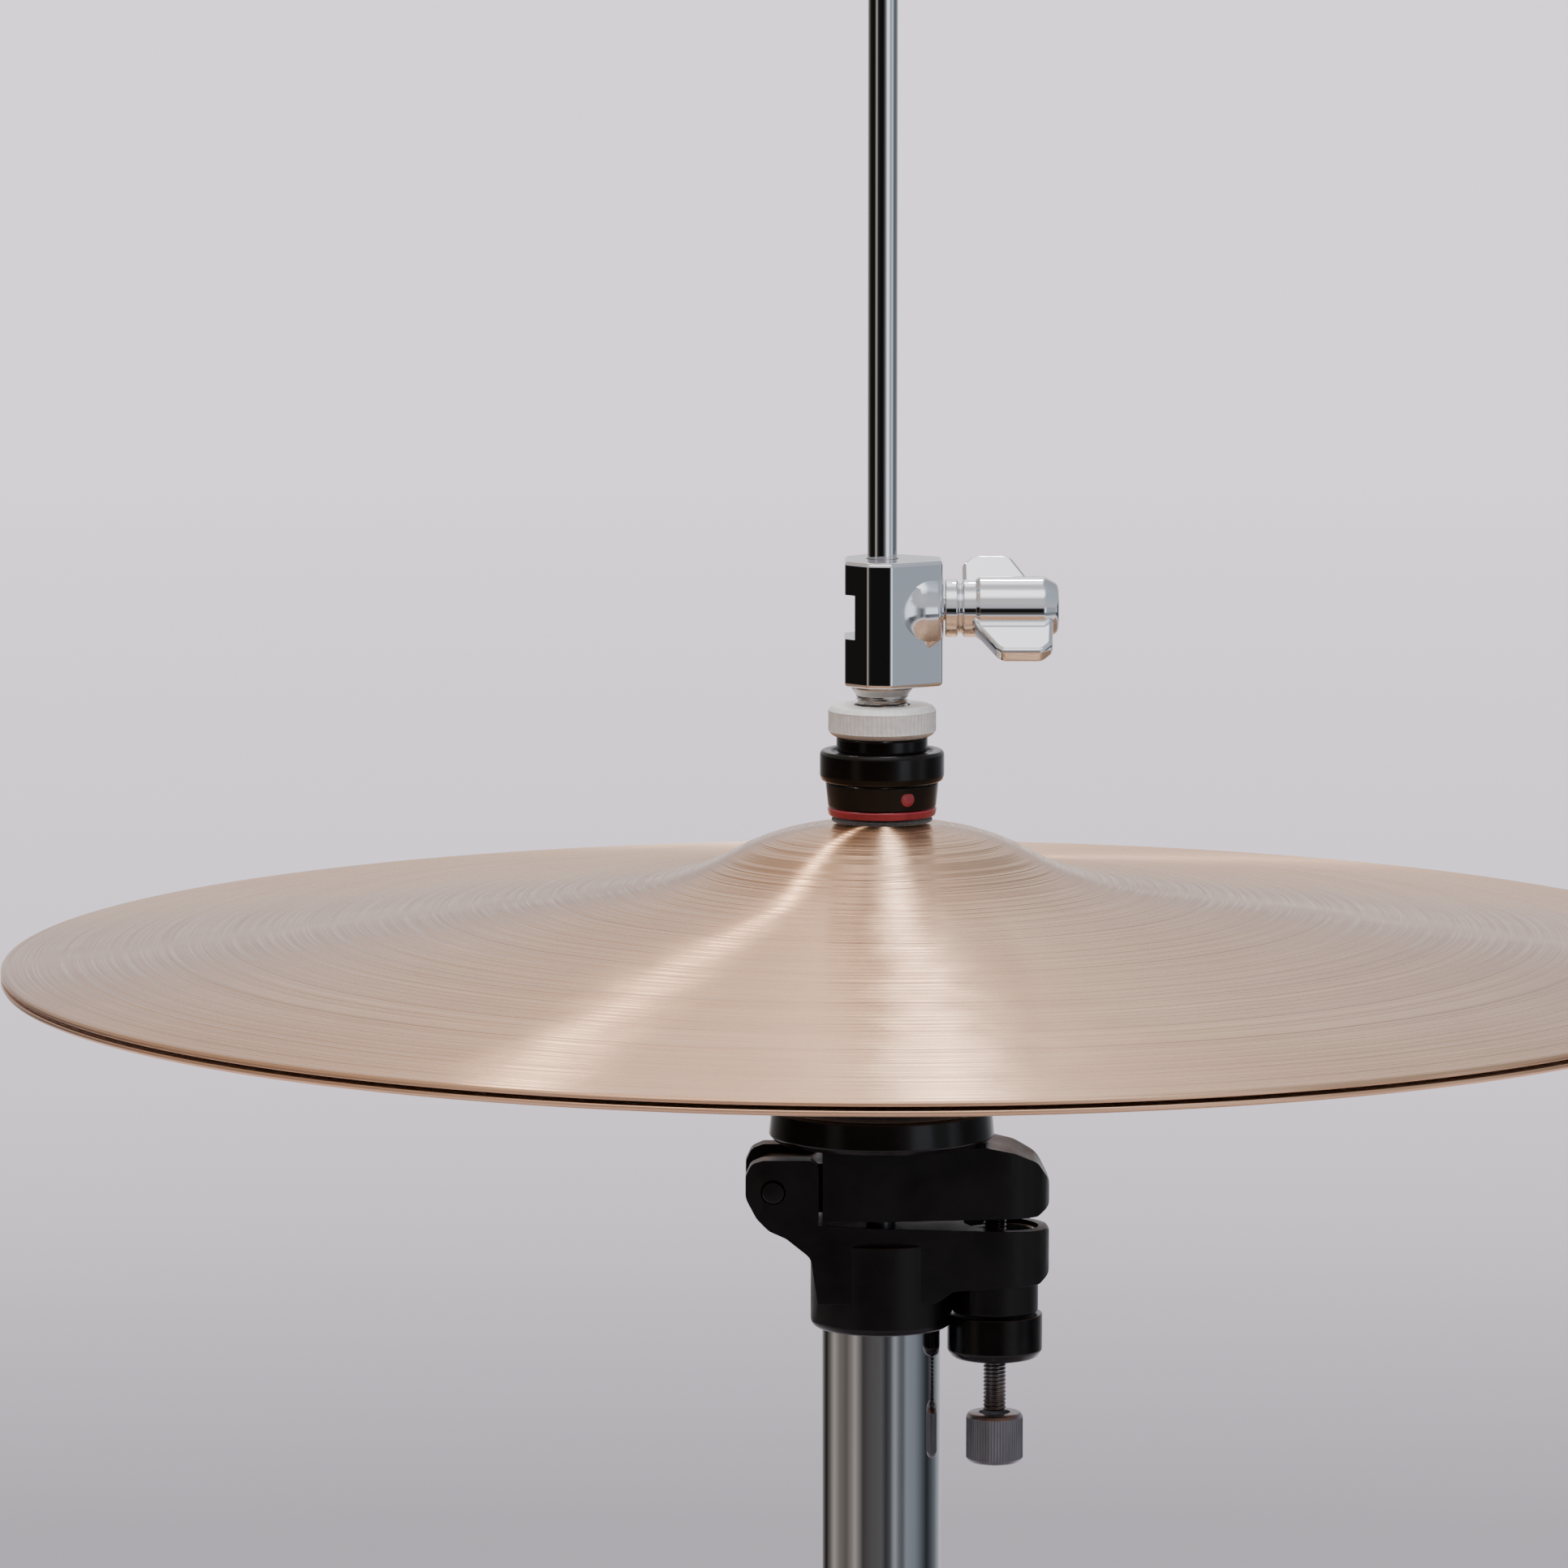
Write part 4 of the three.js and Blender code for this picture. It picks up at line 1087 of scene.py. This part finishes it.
def frame_base():
    bar = softened(node_block("frame_crossbar", 4), 1.5, 4)
    front = mm_box("frame_crossbar")[0].y - 5
    sockets = [pin(PEDAL_ROD_R + GAP, front, -5.7, "Y", at=(x, 0, PEDAL_ROD_Z))
               for x in (-PEDAL_ROD_X, PEDAL_ROD_X)]
    piece(softened(cut(bar, *sockets), 0.4, 2, 50), "crossbar", "stand", PAINT, "frame_crossbar")
    pad = softened(node_block("floor_pad", 3), 0.6, 3)
    grooves = [block((x - 1, x + 1), (-20, 20), (-1, 1)) for x in range(-48, 49, 8)]
    piece(cut(pad, *grooves), "floor_rubber", "stand", RUBBER, "floor_pad")


def radius_rod():
    low, high = mm_box("radius_rod")
    heel = low.y + PEDAL_ROD_R
    side = [(-PEDAL_ROD_X, high.y), (-PEDAL_ROD_X, heel), (PEDAL_ROD_X, heel), (PEDAL_ROD_X, high.y)]
    line = [(x, y, PEDAL_ROD_Z) for x, y in rounded(side, 9, 10, closed=False)]
    piece(swept(line, PEDAL_ROD_R), "bent_rod", "stand", STEEL, "radius_rod")


def heel_plate():
    low, high = mm_box("heel_plate")
    y0, y1, top = low.y, high.y, high.z
    side = [(y0, 0, 0.5), (y0, 5, 2), (y0 + 8, 9, 6), (y0 + 48, 22, 10), (y0 + 62, 26, 6), (y1, 26, 2),
            (y1, 0, 0.5)]
    plate = extruded(rounded(side, 1, 5), -40, 40, "YZ")
    cheek = [(y0 + 60, 20, 0), (y0 + 67, 38, 5), (y0 + 72, top, 5), (y1 - 6, top, 5), (y1 - 1, 38, 5),
             (y1, 20, 0)]
    cheeks = [extruded(rounded(cheek, 1, 6), x, x + 10, "YZ") for x in (-40, 30)]
    plate = softened(joined(plate, *cheeks), 1.4, 4, 40)
    room = PEDAL_ROD_Z + 3.8
    heel = mm_box("radius_rod")[0].y
    pivot = HINGES["footboard_hinge"]
    tools = [block((x - 3.8, x + 3.8), (heel - 0.3, -240), (-1, room)) for x in (-PEDAL_ROD_X, PEDAL_ROD_X)]
    tools.append(block((-PEDAL_ROD_X, PEDAL_ROD_X), (heel - 0.3, heel + 7.3), (-1, room)))
    tools.append(pin(8, -29.7, 29.7, "X", at=(0, pivot.y, pivot.z)))
    tools.append(pin(HINGE_BORE_R, -50, 50, "X", at=(0, pivot.y, pivot.z)))
    plate = softened(cut(plate, *tools), 0.4, 2, 50)
    slope = math.atan2(13, 40)
    ribs = []
    for k in range(5):
        rib = softened(extruded(slot_outline(-30 + 2 * k, 30 - 2 * k, 1.4), -0.5, 0.9), 0.5, 3, 50)
        rib.data.transform(Matrix.Rotation(slope, 4, "X"))
        ribs.append(moved(rib, 0, y0 + 14 + 7.5 * k, 10.9 + 2.44 * k))
    piece(plate, "heel_casting", "stand", ALUMINIUM, "heel_plate")
    piece(blended(ribs), "heel_grip", "stand", RUBBER)
    low, high = mm_box("heel_pin")
    shaft = lathe([(0, low.x), (3, low.x, 0.6), (3, high.x, 0.6), (0, high.x)], 0.4, 48, axis="X")
    piece(moved(shaft, 0, pivot.y, pivot.z), "heel_shaft", "stand", DARK_STEEL, "heel_pin")


def footboard():
    pivot = HINGES["footboard_hinge"]
    toe = middle("chain")
    slope = math.atan2(TOE_PIN_Z - pivot.z, toe.y - pivot.y)
    reach = math.hypot(TOE_PIN_Z - pivot.z, TOE_PIN_Y - pivot.y)
    place = Matrix.Translation(pivot * MM) @ Matrix.Rotation(slope, 4, "X")
    half = [(28, 16, 0), (38, 80, 60), (42, 150, 60), (37, 220, 60), (28, 268, 12), (20, 286, 6)]
    outline = [(28, 0, 0)] + half + [(-x, y, r) for x, y, r in reversed(half)] + [(-28, 0, 0)]
    board = softened(extruded(rounded(outline, 1, 10), -6, -1), 1.2, 4, 50)
    board = joined(board, pin(7, -29, 29, "X", 96))
    windows = [moved(extruded(slot_outline(-5, 5, 3.2), -10, 0), 0, y) for y in (40, 250)]
    toe_slot = block((-5.6, 5.6), (reach - 8, 300), (-10, 5))
    board = cut(board, pin(HINGE_BORE_R, -40, 40, "X"), toe_slot, *windows)
    board = softened(board, 0.5, 3, 45)
    board.data.transform(place)
    piece(board, "board_casting", "footboard", ALUMINIUM, "footboard")
    grips = []
    for row in range(11):
        y = 62 + 16.5 * row
        width = 24 + 9 * math.sin(math.pi * (row + 1) / 12)
        for side in (-1, 1):
            bar = softened(extruded(slot_outline(5, width, 1.5), -0.5, 0.7), 0.5, 3, 50)
            bar.data.transform(Matrix.Rotation(math.radians(28) if side > 0 else math.radians(152), 4, "Z"))
            grips.append(moved(bar, 0, y, -1))
    grip = blended(grips)
    grip.data.transform(place)
    piece(grip, "board_grip", "footboard", RUBBER)
    anchor = softened(block((-11, 11), (reach - 14, reach + 9), (-0.7, 6.5), 2), 0.8, 3)
    anchor = cut(anchor, block((-5.6, 5.6), (reach - 8, 300), (-2, 10)))
    screws = [moved(softened(pin(2.6, 6.2, 7.6), 0.4), x, reach - 10.5) for x in (-7, 7)]
    anchor = blended([softened(anchor, 0.4, 2, 50), *screws])
    anchor.data.transform(place)
    piece(anchor, "anchor", "footboard", DARK_STEEL, "chain_anchor")


def link_plate(x, pitch, z):
    """A figure-of-eight plate of a roller chain."""
    top, bottom = arc(0, 0, 3.5, 0, 180, 12), arc(0, -pitch, 3.5, 180, 360, 12)
    outline = top + [(-2.4, -pitch / 2)] + bottom + [(2.4, -pitch / 2)]
    return moved(softened(extruded(outline, x - 0.55, x + 0.55, "YZ"), 0.25, 2, 50), z=z)


def chain():
    top = HINGES["chain_swing"]
    parts = [pin(2, -11, 11, "X", 40)]
    for i in range(CHAIN_LINKS + 1):
        z = -CHAIN_PITCH * i
        parts.append(moved(softened(pin(2.6, -3.2, 3.2, "X", 40), 0.3), z=z))
        parts.append(moved(softened(pin(1.5, -5, 5, "X", 32), 0.3), z=z))
        if i < CHAIN_LINKS:
            offset = 2.8 if i % 2 else 4.0
            parts += [link_plate(side * offset, CHAIN_PITCH, z) for side in (-1, 1)]
    links = blended(parts)
    swing = Matrix.Rotation(math.asin(TOE_PIN_Y / (CHAIN_LINKS * CHAIN_PITCH)), 4, "X")
    links.data.transform(Matrix.Translation(top * MM) @ swing)
    piece(links, "roller_chain", "chain", DARK_STEEL, "chain")


def rod_clevis():
    low, high = heights("rod_clevis")
    top = HINGES["chain_swing"]
    clevis = softened(node_block("rod_clevis", 1.5), 1.2, 4)
    fork_gap = block((-5.6, 5.6), (-8, 8), (low - 5, 124.5))
    clevis = cut(clevis, fork_gap, pin(2.4, -20, 20, "X", at=(0, 0, top.z)), pin(BORE_R, 126, 140))
    piece(softened(clevis, 0.4, 2, 50), "clevis", "rod", STEEL, "rod_clevis")


return_spring()
spring_adjuster()
frame_yoke()
upright("frame_upright_left")
upright("frame_upright_right")
frame_base()
radius_rod()
heel_plate()
footboard()
chain()
rod_clevis()


# ---- Studio ----
# In metres. The floor's albedo is given by distance from the stand: darker near the stand and lighter far
# off, painted shade in place of light falling off across the floor.
NEAR = 0.62
FAR = 30.0
COVE_R = 15.0
COVE_TOP = 60.0
SOFTBOX_SIZE = 0.07
FLOOR_TINT = (1, 0.92, 1.03)
FLOOR_ALBEDO_PAINTED_SHADE = [(0.0, 0.26), (2.6, 0.26), (3.38, 0.262), (4.04, 0.38), (4.4, 0.46), (5.0, 0.54), (6.5, 0.62),
                (8.8, 0.70), (10.0, 0.76)]


def staged(name, profile, look):
    """Part of the stage, turned from (radius, height) points in metres."""
    sides = 128
    turns = [2 * math.pi * k / sides for k in range(sides)]
    bm = bmesh.new()
    rings = [[bm.verts.new((r * math.cos(a), r * math.sin(a), z)) for a in turns] for r, z in profile]
    for inner, outer in zip(rings, rings[1:]):
        for k in range(sides):
            m = (k + 1) % sides
            bm.faces.new((inner[k], outer[k], outer[m], inner[m]))
    if len(rings) == 1:
        bm.faces.new(rings[0])
    mesh = bpy.data.meshes.new(name)
    bm.to_mesh(mesh)
    bm.free()
    mesh.materials.append(look)
    mesh.shade_smooth()
    obj = placed(name, mesh)
    return obj


def floor_look():
    look = Look("floor", (0.7, 0.7, 0.7), 0.95, Specular_IOR_Level=0.1)
    parts = look.node("ShaderNodeVectorMath", operation="LENGTH")
    look.link(look.place, parts.inputs[0])
    reach = FLOOR_ALBEDO_PAINTED_SHADE[-1][0]
    stops = [(distance / reach, [albedo * share for share in FLOOR_TINT])
             for distance, albedo in FLOOR_ALBEDO_PAINTED_SHADE]
    # The ramp paints shade into the floor's colour: darker near the stand, lighter further away.
    shade = look.ramp(look.math("DIVIDE", parts.outputs["Value"], reach), stops)
    look.link(shade, look.bsdf.inputs["Base Color"])
    return look.material


def floor():
    """A near floor, and a far one with a cove that only the camera sees, so that chrome shows the walls."""
    look = floor_look()
    staged("floor_near", [(NEAR, 0)], look)
    cove = arc(FAR, COVE_R, COVE_R, -90, 0)
    far = staged("floor_far", [(NEAR, 0), *cove, (FAR + COVE_R, COVE_TOP)], look)
    far.visible_glossy = False
    far.visible_diffuse = False
    far.visible_shadow = False


def softbox(name, place, power, color):
    """A small soft light aimed at the cymbals. Nothing but the cymbals casts a shadow in it."""
    light = bpy.data.lights.new(name, "AREA")
    light.shape = "SQUARE"
    light.size = SOFTBOX_SIZE
    light.energy = power
    light.color = color
    obj = placed(name, light)
    rims = Vector((0, 0, RIM_Z * MM))
    obj.location = rims + Vector(place)
    obj.rotation_euler = (rims - obj.location).to_track_quat("-Z", "Y").to_euler()
    blockers = bpy.data.collections.new(name + "_blockers")
    for cymbal_piece in CYMBALS:
        blockers.objects.link(cymbal_piece)
    obj.light_linking.blocker_collection = blockers


def overcast():
    """Even light from above for the floor and the matt pieces; it isn't seen in the metal."""
    light = bpy.data.lights.new("overcast", "SUN")
    light.energy = 3.2
    light.angle = math.radians(100)
    placed("overcast", light).visible_glossy = False


def mirrored(right):
    """The same levels on the left as on the right."""
    return [(-angle, level) for angle, level in reversed(right) if angle] + right


# Brightness of the studio by azimuth, in degrees to the right of the camera's side: the walls just below
# the horizon and further down, the walls above it, and the ceiling's edge. Then the colours of the band
# just above the horizon, of the ceiling overhead and of everything far below.
WALLS_HIGH = [(-180, 1.2), (-155, 0.4), (-120, 0.09), (-104, 0.016), (-78, 0.01), (-62, 0.02),
              (-54, 0.4), (-46, 0.4), (-38, 0.03), (-22, 0.012), (-8, 0.008), (4, 0.015), (15, 0.1),
              (27, 0.45), (36, 1.7), (50, 1.6), (56, 0.52), (70, 0.48), (76, 1.1), (92, 0.2),
              (108, 0.15), (135, 0.3), (180, 1.2)]
WALLS_LOW = [(-180, 0.9), (-150, 0.15), (-134, 0.01), (-118, 0.15), (-104, 0.4), (-90, 0.2), (-72, 0.12),
             (-60, 0.25), (-53, 0.4), (-44, 0.2), (-36, 0.06), (-20, 0.1), (0, 0.12), (9, 0.045), (17, 0.1),
             (26, 0.4), (35, 0.17), (42, 0.13), (50, 0.32), (68, 0.27), (88, 0.1), (99, 0.03), (112, 0.09),
             (128, 0.2), (148, 0.5), (180, 0.9)]
WALLS_UPPER = mirrored([(0, 0.8), (80, 0.6), (115, 0.55), (158, 0.5), (170, 1.6), (180, 1.8)])
CEILING = mirrored([(0, 3.0), (42, 2.6), (75, 0.9), (110, 0.6), (158, 0.55), (170, 2.2), (180, 2.8)])
DIM = (0.68, 0.65, 0.7)
OVERHEAD = (0.95, 0.9, 0.95)
BELOW = (1.1, 1.0, 1.08)


class World(Nodes):
    """The studio's walls and ceiling, as light from far away."""

    def __init__(self):
        world = bpy.data.worlds.new("studio")
        bpy.context.scene.world = world
        world.use_nodes = True
        self.tree = world.node_tree
        self.tree.nodes.clear()
        place = self.node("ShaderNodeTexCoord").outputs["Generated"]
        parts = self.node("ShaderNodeSeparateXYZ")
        self.link(place, parts.inputs[0])
        self.height = parts.outputs["Z"]
        towards = self.math("MULTIPLY", parts.outputs["Y"], -1)
        self.azimuth = self.ranged(self.math("ARCTAN2", parts.outputs["X"], towards), -math.pi, math.pi)

    def walls(self, levels):
        """Walls of these brightnesses, bluer on the right and warmer on the left."""
        stops = []
        for angle, level in levels:
            blue = 1.0 + 0.12 * math.sin(math.radians(angle))
            stops.append(((angle + 180) / 360, (level * (2 - blue), level * 0.98, level * blue)))
        return self.ramp(self.azimuth, stops)

    def mix(self, low, high, a, b):
        """a below the first elevation and b above the second, in degrees."""
        node = self.node("ShaderNodeMix", data_type="RGBA")
        share = self.ranged(self.height, math.sin(math.radians(low)), math.sin(math.radians(high)))
        self.link(share, node.inputs["Factor"])
        for socket, value in (("A", a), ("B", b)):
            if isinstance(value, tuple):
                node.inputs[socket].default_value = (*value, 1)
            else:
                self.link(value, node.inputs[socket])
        return node.outputs["Result"]


def studio_world():
    world = World()
    walls = world.mix(-10.5, -8.5, world.walls(WALLS_LOW), world.walls(WALLS_HIGH))
    lower = world.mix(-22, -16, BELOW, walls)
    dim = world.mix(3, 9, lower, DIM)
    upper = world.mix(13, 22, dim, world.walls(WALLS_UPPER))
    ceiling = world.mix(40, 54, upper, world.walls(CEILING))
    whole = world.mix(70, 84, ceiling, OVERHEAD)
    background = world.node("ShaderNodeBackground")
    world.link(whole, background.inputs["Color"])
    world.link(background.outputs[0], world.node("ShaderNodeOutputWorld").inputs["Surface"])


floor()
studio_world()
softbox("streak_left", (-0.45, 1.17, 1.6), 3.0, (1.0, 0.9, 0.78))
softbox("streak_right", (0.086, 1.25, 1.6), 3.3, (0.97, 0.98, 1.0))
overcast()
